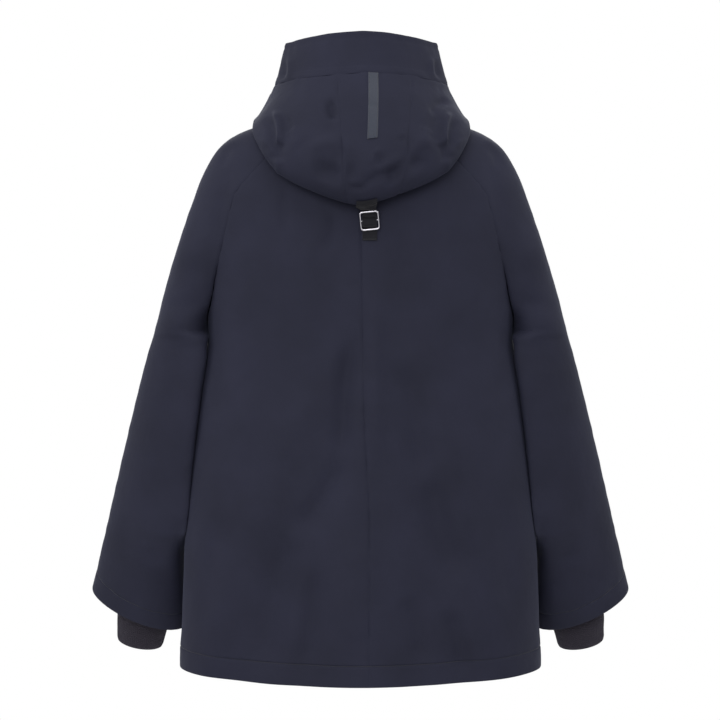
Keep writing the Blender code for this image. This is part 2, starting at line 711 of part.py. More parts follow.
def build_strap(web, metal):
    """The hood's hold-down: a strap from the hood and a tab from the back, both over the slide's bar."""
    ring_y, ring_z = back_surface(RING_HEIGHT) + RING_STAND, RING_HEIGHT
    reach = (RING_SIZE - RING_WIRE) / 2
    lean = math.radians(RING_LEAN)
    top_y, top_z = ring_y + reach * math.sin(lean), ring_z + reach * math.cos(lean)
    low_y, low_z = ring_y - reach * math.sin(lean), ring_z - reach * math.cos(lean)
    clear = RING_WIRE / 2 + 2 * SEAM_GAP + WEB / 2
    bar_y = ring_y - BAR_SET_BACK
    over_bar = bar_y + BAR_WIRE / 2 + 2 * SEAM_GAP + WEB / 2
    hanging = [
        (RING_X + 3.0, top_y + 6.6, top_z + 3.4),
        (RING_X + 2.0, top_y + 2.1, top_z + 3.4),
        (RING_X + 1.2, top_y - 1.5, top_z + 3.0),
        (RING_X + 0.5, top_y - clear, top_z + 1.2),
        (RING_X + 0.2, top_y - clear - 0.2, top_z - 0.9),
        (RING_X, top_y - clear + 0.6, top_z - 3.0),
        (RING_X, over_bar + 0.4, ring_z + 7.2),
        (RING_X, over_bar + 1.4, ring_z + 4.4),
    ]
    widths = np.maximum(STRAP_WIDTH - 1.5 * np.arange(1, len(hanging) + 1), STRAP_NARROW)
    places = (-1, 0, 1)
    lines = [np.concatenate([strap_on_hood(STRAP_STATIONS, u), beside(hanging, widths, u)]) for u in places]
    webbing("strap_upper", lines, web)
    tab = [
        (RING_X - 0.4, back_surface(TAB_END) + TAB_LIFT + WEB / 2, TAB_END),
        (RING_X - 0.4, back_surface(low_z - 6) + TAB_LIFT + WEB / 2, low_z - 6),
        (RING_X - 0.4, low_y - clear - 0.1, low_z - 0.5),
        (RING_X - 0.2, low_y - clear + 1.8, low_z + 3.6),
        (RING_X, over_bar - 1.2, ring_z - 6.4),
        (RING_X, over_bar, ring_z - 3.6),
        (RING_X, over_bar + 0.2, ring_z - 0.8),
        (RING_X, over_bar - 0.5, ring_z + 2.2),
        (RING_X, over_bar - 2.2, ring_z + 4.6),
    ]
    webbing("strap_tab", [beside(tab, STRAP_NARROW, u) for u in places], web)
    build_slide_ring((RING_X, ring_y, ring_z), metal)


def build_slide_ring(centre, metal):
    """A square ring of round wire with a middle bar, one body."""
    half = (RING_SIZE - RING_WIRE) / 2
    mesh_builder = bmesh.new()
    sides, corner_steps = 8, 3
    radius = RING_WIRE / 2
    path = []
    for corner in range(4):
        middle = math.radians(45 + 90 * corner)
        corner_x = math.copysign(half - RING_CORNER, math.cos(middle))
        corner_z = math.copysign(half - RING_CORNER, math.sin(middle))
        for step in range(corner_steps + 1):
            turn = math.radians(90 * corner + 90 * step / corner_steps)
            path.append(
                (corner_x + RING_CORNER * math.cos(turn), corner_z + RING_CORNER * math.sin(turn), turn)
            )
    loops = []
    for x, z, turn in path:
        loop = []
        for side in range(sides):
            around = 2 * math.pi * side / sides
            away = radius * math.cos(around)
            point = (x + away * math.cos(turn), radius * math.sin(around), z + away * math.sin(turn))
            loop.append(mesh_builder.verts.new(point))
        loops.append(loop)
    for place, loop in enumerate(loops):
        following = loops[(place + 1) % len(loops)]
        for side in range(sides):
            after = (side + 1) % sides
            mesh_builder.faces.new((loop[side], loop[after], following[after], following[side]))
    ring = add_object("slide_ring", mesh_builder, metal)

    bar_builder = bmesh.new()
    laid = Matrix.Translation((0, -BAR_SET_BACK, 0)) @ Matrix.Rotation(math.pi / 2, 4, "Y")
    bmesh.ops.create_cone(
        bar_builder, cap_ends=True, segments=sides, radius1=BAR_WIRE / 2, radius2=BAR_WIRE / 2,
        depth=2 * half, matrix=laid,
    )
    bar = add_object("slide_bar", bar_builder, metal)
    bar.hide_render = True
    bar.display_type = "WIRE"
    union = ring.modifiers.new("middle_bar", "BOOLEAN")
    union.operation = "UNION"
    union.object = bar
    place = Matrix.Translation(Vector(centre) * MM)
    lean = Matrix.Rotation(-math.radians(RING_LEAN), 4, "X")
    twist = Matrix.Rotation(math.radians(RING_TWIST), 4, "Y")
    for piece in (ring, bar):
        piece.matrix_world = place @ lean @ twist


def front_line(x):
    """The outer face beside the zip, from the hem to the rim, at a distance x from the centre."""
    rows = np.arange(HEM_ROW, -1, -1.0)
    stations = np.array(ZIP_ROWS)
    edge = np.concatenate([trunk(FRONT, 0.0, rows, 1), hood_side(1.0, stations, 1)])
    beside = np.concatenate([trunk(FRONT, 1 / ACROSS, rows, 1), hood_side(1 - 1 / HOOD_ACROSS, stations, 1)])
    part = (abs(x) - edge[:, 0]) / (beside[:, 0] - edge[:, 0])
    line = edge + (beside - edge) * part[:, None]
    line[:, 0] = x
    return line


def zip_strip(name, left_x, right_x, top_depth, thickness, material, last=None):
    """A strip of the zip between two distances from the centre, this deep below the outer face.

    It returns the middle of the outer face at the strip's top.
    """
    grid = np.stack([front_line(left_x), front_line(right_x)], axis=1)[:last]
    along = np.gradient(grid, axis=0)
    across = np.broadcast_to(grid[:, 1:] - grid[:, :1], grid.shape)
    out = unit(np.cross(across, along) * np.array([0.0, 1.0, 1.0]))
    wall(name, grid - out * top_depth, grid - out * (top_depth + thickness), material)
    return grid[-1].mean(axis=0)


def box(mesh_builder, low, high):
    """Adds a box between two corners."""
    centre = (Vector(low) + Vector(high)) / 2
    size = Vector(high) - Vector(low)
    matrix = Matrix.Translation(centre) @ Matrix.Diagonal((*size, 1))
    bmesh.ops.create_cube(mesh_builder, size=1, matrix=matrix)


def build_zip(web, metal):
    """The plain front zip: two tapes under the fronts' edges, the chain, its slider and the pull tab."""
    zip_strip("zip_tape_left", TAPE_INNER, TAPE_OUTER, TAPE_DEPTH, TAPE_THICK, web)
    zip_strip("zip_tape_right", -TAPE_OUTER, -TAPE_INNER, TAPE_DEPTH, TAPE_THICK, web)
    chain_top = zip_strip("zip_chain", -CHAIN_HALF, CHAIN_HALF, CHAIN_DEPTH, CHAIN_THICK, metal, last=-1)
    build_slider(chain_top, metal)


def build_slider(chain_top, metal):
    """The slider grips the chain's last millimetres, with a bail that the pull tab hangs in."""
    _, face_y, top = (float(value) for value in chain_top)
    rear = face_y - PLATE_THICK / 3
    front = rear - PLATE_THICK
    low, high = top - PLATE_BELOW, top + PLATE_ABOVE
    middle = (low + high) / 2
    bail_front = front - BAIL_REACH
    bail_low, bail_high = middle - BAIL_HALF_HEIGHT, middle + BAIL_HALF_HEIGHT
    sunk = 0.1
    shapes = [
        (PLATE_HALF_WIDTH, front, rear, low, high),
        (POST_HALF_WIDTH, rear - sunk, face_y + PLATE_BACK + sunk, top + 0.4, high - 1),
        (PLATE_HALF_WIDTH, face_y + PLATE_BACK, face_y + PLATE_BACK + PLATE_THICK, low, high),
        (BAIL_HALF_WIDTH, bail_front + 1, front + sunk, bail_high - BAIL_WIRE, bail_high),
        (BAIL_HALF_WIDTH, bail_front + 1, front + sunk, bail_low, bail_low + BAIL_WIRE),
        (BAIL_HALF_WIDTH, bail_front, bail_front + BAIL_WIRE, bail_low, bail_high),
    ]
    slider = None
    for place, (half_width, y_low, y_high, z_low, z_high) in enumerate(shapes):
        mesh_builder = bmesh.new()
        box(mesh_builder, (-half_width, y_low, z_low), (half_width, y_high, z_high))
        if slider is None:
            slider = add_object("zip_slider", mesh_builder, metal)
            continue
        helper = add_object(f"slider_part_{place}", mesh_builder, metal)
        helper.hide_render = True
        helper.display_type = "WIRE"
        union = slider.modifiers.new(f"join_{place}", "BOOLEAN")
        union.operation = "UNION"
        union.object = helper
    pull_bar = bail_low + BAIL_WIRE + PULL_PLAY + PULL_THICK / 2
    build_pull(front - PULL_STAND, pull_bar, metal)


def build_pull(axis_y, axis_z, metal):
    """The pull tab: a plate with a window, whose top bar hangs in the slider's bail."""
    half = PULL_THICK / 2
    mesh_builder = bmesh.new()
    box(mesh_builder, (-PULL_WIDTH / 2, -half, -PULL_LENGTH), (PULL_WIDTH / 2, half, half))
    through = [edge for edge in mesh_builder.edges if abs(edge.verts[0].co.y - edge.verts[1].co.y) > half]
    bmesh.ops.bevel(mesh_builder, geom=through, offset=PULL_CORNER, segments=3, affect="EDGES")
    pull = add_object("zip_pull", mesh_builder, metal)
    hole_builder = bmesh.new()
    box(hole_builder, (-PULL_WINDOW / 2, -3, -PULL_WINDOW_LENGTH), (PULL_WINDOW / 2, 3, -half))
    hole = add_object("pull_window", hole_builder, metal)
    hole.hide_render = True
    hole.display_type = "WIRE"
    cut = pull.modifiers.new("window", "BOOLEAN")
    cut.operation = "DIFFERENCE"
    cut.object = hole
    for piece in (pull, hole):
        piece.location = (0, axis_y * MM, axis_z * MM)


def main():
    for leftover in list(bpy.data.objects):
        bpy.data.objects.remove(leftover, do_unlink=True)
    shell = make_material("navy_shell", (0.028, 0.029, 0.043), 0.62)
    rib = make_material("navy_rib", (0.024, 0.023, 0.032), 0.9)
    tape = make_material("grey_tape", (0.067, 0.073, 0.093), 0.55)
    web = make_material("navy_webbing", (0.026, 0.026, 0.036), 0.8)
    steel = make_material("satin_steel", (0.55, 0.55, 0.58), 0.3, 1.0)
    dark_metal = make_material("dark_metal", (0.08, 0.08, 0.09), 0.4, 1.0)
    build_trunk(shell)
    build_sleeves(shell)
    build_hood(shell)
    build_tape(tape)
    build_cuffs(rib)
    build_strap(web, steel)
    build_zip(web, dark_metal)


main()
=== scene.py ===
"""The parka's finish: every cloth piece as a fine shell on its solid's form, with its creases, seams,
hems and stitches, its ribbed cuffs, strap, slide ring and zip, and the studio that it hangs in.

The tables are in millimetres and degrees and hold the same forms as the solids; meshes are in metres.
+Z is up, the front faces -Y and the wearer's left is +X. "across" runs from a panel's inner seam to its
outer one, and "row" or "station" runs down it.
"""

import math

import bmesh
import bpy
import numpy as np
from mathutils import Matrix, Vector


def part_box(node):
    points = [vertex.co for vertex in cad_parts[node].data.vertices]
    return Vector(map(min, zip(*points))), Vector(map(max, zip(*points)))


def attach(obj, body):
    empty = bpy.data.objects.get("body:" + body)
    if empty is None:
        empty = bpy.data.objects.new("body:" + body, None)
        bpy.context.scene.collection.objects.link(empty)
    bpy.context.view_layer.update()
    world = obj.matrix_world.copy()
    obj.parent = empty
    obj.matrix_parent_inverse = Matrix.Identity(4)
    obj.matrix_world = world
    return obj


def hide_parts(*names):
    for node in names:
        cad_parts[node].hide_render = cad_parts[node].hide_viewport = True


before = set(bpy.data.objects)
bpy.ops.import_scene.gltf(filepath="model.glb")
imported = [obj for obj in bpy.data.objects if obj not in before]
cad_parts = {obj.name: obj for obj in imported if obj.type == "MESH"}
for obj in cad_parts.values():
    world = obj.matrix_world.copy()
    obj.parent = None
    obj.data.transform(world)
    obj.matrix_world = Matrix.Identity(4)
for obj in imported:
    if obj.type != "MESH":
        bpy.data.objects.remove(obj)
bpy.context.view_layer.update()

MM = 0.001

SIDES = (("left", 1), ("right", -1))  # each side's name, and which way it lies along x

# Driving sizes, in millimetres.
CLOTH = 2.0  # the wall of a cloth solid, which the zip's tapes and the cuffs stay clear of
RIB = 2.6  # knitted cuff
WEB = 1.6  # webbing of the strap
TAPE = 1.0  # flat tape on the hood
SEAM_GAP = 0.3  # between neighbouring pieces
ZIP_EDGE = 4.0  # from the centre front to a front panel's edge
ACROSS = 8  # steps across each half of the trunk's solid
HOOD_ACROSS = 11  # steps across each side panel of the hood's solid

# The row at which the armhole ends, and the last rows of the trunk and of the sleeve.
UNDERARM_ROW = 10
UNDERARM_TUCK = 1.8  # how far the sleeve's inner fold presses against the body
TUCK_ROWS = 0.12  # over how many rows it comes to do so
HEM_ROW = 18
CUFF_ROW = 17

# The neck's seam: half its width, how far it reaches back and forward, and its height by the angle
# from the centre back.
NECK_HALF_WIDTH = 85
NECK_BACK = 75
NECK_FRONT = 88
NECK_ANGLES = (0, 45, 90, 127, 180)
NECK_HEIGHTS = (5, 12, 18, -8, -75)

# The trunk, a row per level. "mid" is the height at the centre and "edge" at the armhole or side
# seam, "reach" the section's half width, "depth" how far it stands off the line between the sides,
# "middle" where that line lies, "square" the section's exponent, where 2 is an ellipse, "seam_x" where
# the armhole seam crosses the row and "valley" how sharply the sleeve turns out of the trunk there.
TRUNK_COLUMNS = ("row", "mid", "edge", "reach", "depth", "middle", "square", "seam_x", "valley")
BACK_ROWS = [
    (0, 5, 12, NECK_HALF_WIDTH, NECK_BACK, 0, 2.25, 60, 0),
    (1, -14, -4, 131, 88, 0, 2.25, 82, 0),
    (2, -34, -22, 167, 99, 0, 2.25, 105, 0),
    (3, -60, -46, 197, 110, 0, 2.25, 130, 0),
    (4, -88, -75, 219, 118, 0, 2.25, 156, 0),
    (5, -114, -104, 232, 124, 0, 2.25, 179, 2),
    (6, -150, -144, 235, 127, 1, 2.25, 189, 8),
    (7, -186, -182, 232, 127, 4, 2.3, 198, 37),
    (8, -216, -214, 227, 125, 7, 2.42, 205, 69),
    (9, -252, -252, 222, 123, 11, 2.55, 212, 130),
    (10, -295, -295, 219, 122, 14, 2.6, 219, 180),
    (11, -345, -345, 228, 124, 17, 2.4, 228, 180),
    (12, -400, -400, 235, 129, 19, 2.3, 235, 180),
    (13, -460, -460, 241, 134, 21, 2.25, 241, 180),
    (14, -525, -525, 247, 140, 22, 2.25, 247, 180),
    (15, -595, -593, 252, 145, 23, 2.25, 252, 180),
    (16, -665, -661, 255, 149, 24, 2.25, 255, 180),
    (17, -730, -723, 257, 152, 25, 2.25, 257, 180),
    (18, -782, -773, 259, 154, 25, 2.25, 259, 180),
]
FRONT_ROWS = [
    (0, -75, -8, NECK_HALF_WIDTH, NECK_FRONT, 0, 2.25, 68, 0),
    (1, -90, -26, 131, 97, 0, 2.25, 90, 0),
    (2, -106, -48, 167, 105, 0, 2.25, 113, 0),
    (3, -124, -72, 193, 112, 0, 2.25, 135, 0),
    (4, -143, -98, 209, 118, 0, 2.25, 156, 0),
    (5, -163, -127, 220, 122, 0, 2.25, 173, 2),
    (6, -186, -158, 227, 127, 1, 2.25, 185, 8),
    (7, -208, -190, 228, 133, 4, 2.3, 196, 37),
    (8, -229, -218, 225, 138, 7, 2.42, 204, 69),
    (9, -257, -254, 221, 144, 11, 2.55, 212, 130),
    (10, -295, -295, 219, 149, 14, 2.6, 219, 180),
    (11, -345, -345, 228, 153, 17, 2.4, 228, 180),
    (12, -400, -400, 235, 157, 19, 2.3, 235, 180),
    (13, -460, -460, 241, 161, 21, 2.25, 241, 180),
    (14, -525, -525, 247, 165, 22, 2.25, 247, 180),
    (15, -593, -593, 252, 170, 23, 2.25, 252, 180),
    (16, -660, -661, 255, 176, 24, 2.25, 255, 180),
    (17, -721, -723, 257, 182, 25, 2.25, 257, 180),
    (18, -770, -773, 259, 186, 25, 2.25, 259, 180),
]

# The centre-back seam wanders a little to the wearer's right: height and x.
BACK_SEAM_COLUMNS = ("drop", "x")
BACK_SEAM = [(0, 0), (170, -1), (300, -3), (400, -5), (490, -9), (550, -12), (790, -12)]

# The over-arm seam from the neck to the sleeve's hem, and the pull of the curves that join it to the
# armhole seams, or to the underarm seam below them: at the inner end of each half and over the arm.
SLEEVE_COLUMNS = ("row", "over_x", "over_y", "over_z", "back_pull", "front_pull", "over_pull")
SLEEVE_ROWS = [
    (0, 88, 0, 18, 22, 22, 22),
    (1, 130, -2, 9, 31, 31, 31),
    (2, 166, -3, -3, 37, 37, 37),
    (3, 196, -3, -20, 41, 41, 41),
    (4, 217, -3, -46, 42, 42, 42),
    (5, 233, -4, -79, 43, 43, 42),
    (6, 250, -5, -125, 50, 50, 47),
    (7, 265, -6, -172, 56, 56, 55),
    (8, 277, -7, -210, 43, 43, 46),
    (9, 289, -9, -252, 18, 18, 76),
    (10, 301, -12, -298, 91, 82, 80),
    (10.2, 304, -13, -308, 62, 118, 78.5),
    (10.4, 307, -14, -318.5, 38, 145, 77),
    (11, 316, -18, -350, 41, 154, 73),
    (12, 331, -28, -404, 43, 172, 66),
    (13, 346, -40, -462, 35, 190, 66),
    (14, 361, -54, -521, 22, 205, 64),
    (14.6, 370, -63, -556.5, 20, 222, 61.6),
    (15, 376, -69, -580, 60, 193, 60),
    (15.3, 380.5, -73, -597, 120, 143, 58.5),
    (16, 391, -83, -637, 124, 132, 55),
    (17, 401, -92, -675, 118, 118, 50),
]
# The underarm seam, the ring's direction there, and the fall of the ring's back edge.
UNDERARM_COLUMNS = ("row", "under_x", "under_y", "under_z", "turn", "fall")
UNDERARM_ROWS = [
    (10, 219.3, 14, -295, 90, 0),
    (10.2, 220, 43, -305, 107, 0),
    (10.4, 220.6, 56, -316, 108, 1),
    (10.7, 221.8, 58, -334, 112, 2),
    (11, 224.4, 58, -352, 109, 3),
    (12, 232.2, 58, -412, 105, 8),
    (13, 239.2, 58, -475, 103, 13),
    (14, 245.4, 60, -540, 101, 17),
    (14.6, 250.2, 54, -579, 99, 19),
    (14.8, 253.4, 33, -592, 94, 19.5),
    (15, 254.2, 5, -605, 88, 20),
    (15.3, 248, -45, -624.5, 87, 20.6),
    (16, 246, -72, -669, 86, 22),
    (17, 246, -96, -714, 85, 23),
]

# Soft folds in the skirt of the back, a row each: its x at the top and at the hem, its width at the
# hem, and its depth there, outwards when above zero.
BACK_FOLDS = [
    (10, 150, 34, -7),
    (14, 75, 26, -3),
    (-8, 0, 60, 5),
    (-42, -122, 30, -7),
    (-40, -80, 24, -3),
    (60, 205, 30, 4),
    (-70, -190, 30, 4),
]
FOLD_TOP = 300  # how far down the folds begin
FOLD_FULL = 720  # how far down they are full
FOLD_START = 0.45  # a fold's width at the top, as a part of its width at the hem

# The hood, a row per angle round the neck from the centre back. Each column pair is a radius and a
# height on the way from the neck's seam up the stand, down over the back, round the bottom of the
# pouch and up its outside to the brim's seam and the rim.
HOOD_POINTS = (
    "neck", "stand", "turn", "lie", "low", "fold", "swell", "belly", "throat", "seam", "band", "rim",
)
HOOD_ANGLES = (0, 8, 20, 40, 60, 75, 90, 110, 135, 160, 180)
HOOD_RADII = {
    "stand": (80, 80, 80, 82, 85, 88, 91, 93, 93, 93, 93),
    "turn": (92, 92, 93, 96, 101, 105, 109, 103, 99, 96, 95),
    "lie": (108, 109, 112, 119, 126, 130, 131, 114, 104, 98, 96),
    "low": (125, 126, 129, 136, 144, 144, 143, 121, 107, 99, 97),
    "fold": (147, 149, 152, 160, 161, 155, 151, 127, 110, 100, 98),
    "swell": (174, 175, 177, 179, 171, 159, 152, 130, 112, 101, 98),
    "belly": (179, 179, 179, 176, 163, 151, 145, 129, 113, 102, 99),
    "throat": (153, 152, 150, 145, 138, 135, 135, 123, 111, 102, 99),
    "seam": (120, 119, 118, 117, 119, 122, 125.5, 119, 109, 102, 100),
    "band": (108, 107, 106, 106, 109, 113, 117, 113, 106, 102, 101),
    "rim": (100, 98.5, 97, 97, 100, 104, 110, 108, 104, 102, 102),
}
HOOD_HEIGHTS = {
    "stand": (26, 26, 27, 29, 31, 33, 34, 22, -4, -38, -52),
    "turn": (30, 30, 31, 32, 33, 34, 35, 24, 0, -32, -46),
    "lie": (-10, -9, -6, 4, 19, 25, 27, 20, 3, -26, -39),
    "low": (-75, -71, -64, -40, -2, 12, 16, 16, 5, -20, -33),
    "fold": (-122, -117, -104, -76, -26, 3, 10, 15, 7, -14, -27),
    "swell": (-101, -97, -87, -61, -18, 6, 14, 20, 10, -8, -20),
    "belly": (-50, -47, -42, -26, 0, 15, 23, 29, 17, -1, -12),
    "throat": (15, 16, 17, 22, 32, 38, 43, 42, 27, 9, -2),
    "seam": (66, 65.5, 65, 64, 63, 63, 64, 59, 42, 21, 9),
    "band": (97, 96.5, 96, 94, 94, 94, 94, 88, 68, 46, 34),
    "rim": (127, 126.5, 126, 124, 123, 123, 124, 118, 98, 72, 58),
}
# The centre panel, at the neck, the low edge, the fold, the belly and the brim's seam: the angle of
# its middle, which lies to the wearer's right, and half its width as an angle.
PANEL_STATIONS = (0, 4, 5, 7, 9)
PANEL_MIDDLE = (-5.5, -5, -5, -5.3, -9)
PANEL_HALF = (24, 13, 11.5, 13, 24)
POUCH_SHIFT = -2.5  # the back of the hood lies this far to the wearer's right
POUCH_SKEW = 7.5  # makes the pouch's left half hang a little lower than its right
SKEW_FOCUS = 6  # how closely the skew keeps to the middle of the back
POUCH_EASE = 4  # over how many stations the shift and the skew grow and die out
SEAM_STATION = 9  # the place of the brim's seam in HOOD_POINTS
POUCH_LINING = 4.3  # the station up to which the hood lies smooth against the back
RIM_STATION = 11  # the place of the rim in HOOD_POINTS

# The tape on the hood.
TAPE_WIDTH = 12.8
TAPE_END = 7.26  # the station of its lower end
TAPE_ANGLES = (-4, -6.5)  # round the hood from its centre back, at its lower end and at the brim's seam
TAPE_LIFT = 0.5  # off the hood

# The knitted cuffs: the sleeve rows between which each is sewn in, the lean of its rings outwards and
# their fall backwards, then a row per ring below: its middle's x, y and z, half its width and depth.
CUFF_SEAM_ROWS = (16, 16.12)
CUFF_LEAN = 10
CUFF_FALL = 13
CUFF_ROWS = [
    (320, -90, -678, 60, 50),
    (322, -92, -694, 44, 41),
    (324, -94, -708, 40, 38),
    (327, -99, -732, 38, 36),
    (331, -106, -757, 34.5, 34),
]

# The strap, its tab and the slide ring below the hood.
STRAP_WIDTH = 24.5
STRAP_NARROW = 20.5  # where it is drawn through the ring
STRAP_TAPER = 1.5  # how much narrower it grows from one place on its way to the next
STRAP_ANGLE = -1.9  # where it is sewn to the hood
STRAP_STATIONS = (5.55, 5.48, 5.4, 5.28, 5.15)
STRAP_LIFT = 1.2  # off the hood's outer face
TAB_END = -169  # height at which the tab is sewn down
TAB_LIFT = 0.5  # off the back
RING_X = -12.5
RING_HEIGHT = -142
RING_STAND = 9.5  # from the back panel to the ring's middle
RING_LEAN = 12  # its top leans away from the back
RING_TWIST = 5.5
RING_SIZE = 28
RING_WIRE = 3.2
RING_CORNER = 3.6
BAR_WIRE = 2.2
BAR_SET_BACK = 1
BEHIND_WIRE = RING_WIRE / 2 + 2 * SEAM_GAP + WEB / 2  # from a wire's middle to the webbing's behind it

# The front zip: the tapes lie under the fronts' edges, with the chain between them.
TAPE_INNER = 1.4  # from the centre front, under the teeth
TAPE_OUTER = 13
TAPE_THICK = 0.8
TAPE_DEPTH = CLOTH + 7 * SEAM_GAP  # clears the fronts' inner faces where they twist at the neck
CHAIN_HALF = 2.9
CHAIN_DEPTH = 0.9
CHAIN_THICK = 2.6
ZIP_ON_HOOD = (0.6, 10.6)  # the zip's stations up the hood
CHAIN_END = 10

# The slider has two plates joined by a post above the chain's end, and a bail on the front plate.
PLATE_HALF_WIDTH = 4.6
PLATE_ABOVE = 5  # above the chain's end
PLATE_THICK = 1.2
POST_HALF_WIDTH = 1.2
BAIL_HALF_WIDTH = 0.9
BAIL_HALF_HEIGHT = 4.2
BAIL_REACH = 4.6
BAIL_WIRE = 1.2
PLATE_ROUND = 0.45
POST_ROUND = 0.3  # and the bail's feet
BAIL_ROUND = 0.35
SUNK = 0.3  # how far the post and the bail's feet run into the plates

# The pull tab is a plate whose window hangs on the bail.
PULL_WIDTH = 7
PULL_LENGTH = 32
PULL_WINDOW = 3.8
PULL_WINDOW_LENGTH = 8.2
PULL_CORNER = 1.6
PULL_BEVEL = 0.25
WINDOW_CORNER = 0.9
WINDOW_FLARE = 0.2  # how much wider the window is at the plate's faces, for each millimetre of bevel
CORNER_STEPS = 6


def curved(start, end, lift, land, part):
    """A smooth curve from start to end that leaves and lands with these slopes."""
    return (
        start * (1 + 2 * part) * (1 - part) ** 2
        + lift * part * (1 - part) ** 2
        + end * part**2 * (3 - 2 * part)
        - land * part**2 * (1 - part)
    )


def spline(keys, values, at, level_ends=False):
    """The value at each place on a smooth curve through the rows, which never swings past them."""
    keys = np.asarray(keys, float)
    values = np.asarray(values, float)
    at = np.clip(np.asarray(at, float), keys[0], keys[-1])
    gaps = np.diff(keys)
    slopes = np.diff(values) / gaps
    tangents = np.zeros(len(keys))
    if not level_ends:
        tangents[0], tangents[-1] = slopes[0], slopes[-1]
    for index in range(1, len(keys) - 1):
        before, after = slopes[index - 1], slopes[index]
        if before * after > 0:
            tangents[index] = 2 * before * after / (before + after)
    left = np.clip(np.searchsorted(keys, at, side="right") - 1, 0, len(keys) - 2)
    gap = gaps[left]
    part = (at - keys[left]) / gap
    return curved(values[left], values[left + 1], tangents[left] * gap, tangents[left + 1] * gap, part)


class Table:
    """Rows with named columns, read smoothly by the first column."""

    def __init__(self, columns, rows):
        self.data = {name: [row[place] for row in rows] for place, name in enumerate(columns)}
        self.keys = self.data[columns[0]]

    def __call__(self, name, at):
        return spline(self.keys, self.data[name], at)


def trunk_table(rows):
    """A face of the trunk, with the angle round each section at which the armhole or side seam lies."""
    table = Table(TRUNK_COLUMNS, rows)
    seam_x, reach, square = (np.array(table.data[name], float) for name in ("seam_x", "reach", "square"))
    table.data["seam_angle"] = np.arcsin(np.clip(seam_x / reach, 0, 1) ** (square / 2))
    return table


BACK = trunk_table(BACK_ROWS)
FRONT = trunk_table(FRONT_ROWS)
SLEEVE = Table(SLEEVE_COLUMNS, SLEEVE_ROWS)
UNDERARM = Table(UNDERARM_COLUMNS, UNDERARM_ROWS)
SEAM_LINE = Table(BACK_SEAM_COLUMNS, BACK_SEAM)


def unit(vectors):
    """The vectors at a length of one."""
    return vectors / np.maximum(np.linalg.norm(vectors, axis=-1, keepdims=True), 1e-9)


def smooth_step(value):
    """0 below 0 and 1 above 1, with a level start and end between."""
    value = np.clip(value, 0, 1)
    return value * value * (3 - 2 * value)


def swelling(distance, width):
    """1 at no distance, and falling away smoothly to either side of it."""
    return np.exp(-((distance / width) ** 2))


def facing_of(face):
    """Which way a face of the garment looks along y: 1 at the back, -1 at the front."""
    return 1.0 if face is BACK else -1.0


def back_fold(x, z):
    """How far the skirt's soft folds move the back out, in millimetres."""
    down = (-z - FOLD_TOP) / (FOLD_FULL - FOLD_TOP)
    grown = smooth_step(down)
    moved = np.zeros_like(x)
    for top_x, hem_x, hem_width, depth in BACK_FOLDS:
        line = top_x + (hem_x - top_x) * down
        width = hem_width * (FOLD_START + (1 - FOLD_START) * np.clip(down, 0, 1))
        moved = moved + depth * swelling(x - line, width)
    return moved * grown


def trunk(face, across, row, side):
    """Points of the trunk's outer face. face is BACK or FRONT, and across runs from 0, the centre, to 1."""
    across, row = np.broadcast_arrays(np.asarray(across, float), np.asarray(row, float))
    reach = face("reach", row)
    mid, edge = face("mid", row), face("edge", row)
    if face is BACK:
        start_x = side * SEAM_LINE("x", -mid)
    else:
        start_x = np.full_like(reach, ZIP_EDGE)
    half_power = face("square", row) / 2
    start = np.arcsin(np.abs(start_x / reach) ** half_power) * np.sign(start_x)
    end = face("seam_angle", row)
    seam_x = reach * np.sin(end) ** (1 / half_power)
    angle = start + (end - start) * across
    x = reach * np.abs(np.sin(angle)) ** (1 / half_power) * np.sign(angle)
    out = face("depth", row) * np.abs(np.cos(angle)) ** (1 / half_power)
    z = mid + (edge - mid) * np.clip(x / seam_x, 0, 1) ** 2
    if face is BACK:
        y = face("middle", row) + out + back_fold(side * x, z)
    else:
        y = face("middle", row) - out
    return np.stack([side * x, y, z], axis=-1)


def armhole(face, row, side):
    """The armhole seam's points on the sleeve, and the direction in which the sleeve leaves it."""
    row = np.asarray(row, float)
    point = trunk(face, 1.0, row, side)
    along = unit(point - trunk(face, BESIDE_SEAM, row, side))
    below = trunk(face, 1.0, row + BESIDE_ROW, side)
    down = unit(below - trunk(face, 1.0, row - BESIDE_ROW, side))
    out = unit(np.cross(along, down))
    out = out * np.sign(out[..., 1:2] * facing_of(face) + out[..., 0:1] * side)
    valley = np.radians(face("valley", row))[..., None]
    gap = SEAM_GAP * (along * np.cos(valley / 2) + out * np.sin(valley / 2))
    return point + gap, unit(along * np.cos(valley) + out * np.sin(valley))


def underarm(face, row, side):
    """The underarm seam's points and the sleeve ring's direction there."""
    row = np.asarray(row, float)
    tuck = UNDERARM_TUCK * smooth_step((row - UNDERARM_ROW) / TUCK_ROWS)
    x = side * (UNDERARM("under_x", row) - tuck)
    point = np.stack([x, UNDERARM("under_y", row), UNDERARM("under_z", row)], axis=-1)
    turn = np.radians(UNDERARM("turn", row))
    facing = facing_of(face)
    heading = np.stack([side * facing * np.cos(turn), facing * np.sin(turn), np.zeros_like(turn)], axis=-1)
    return point, heading


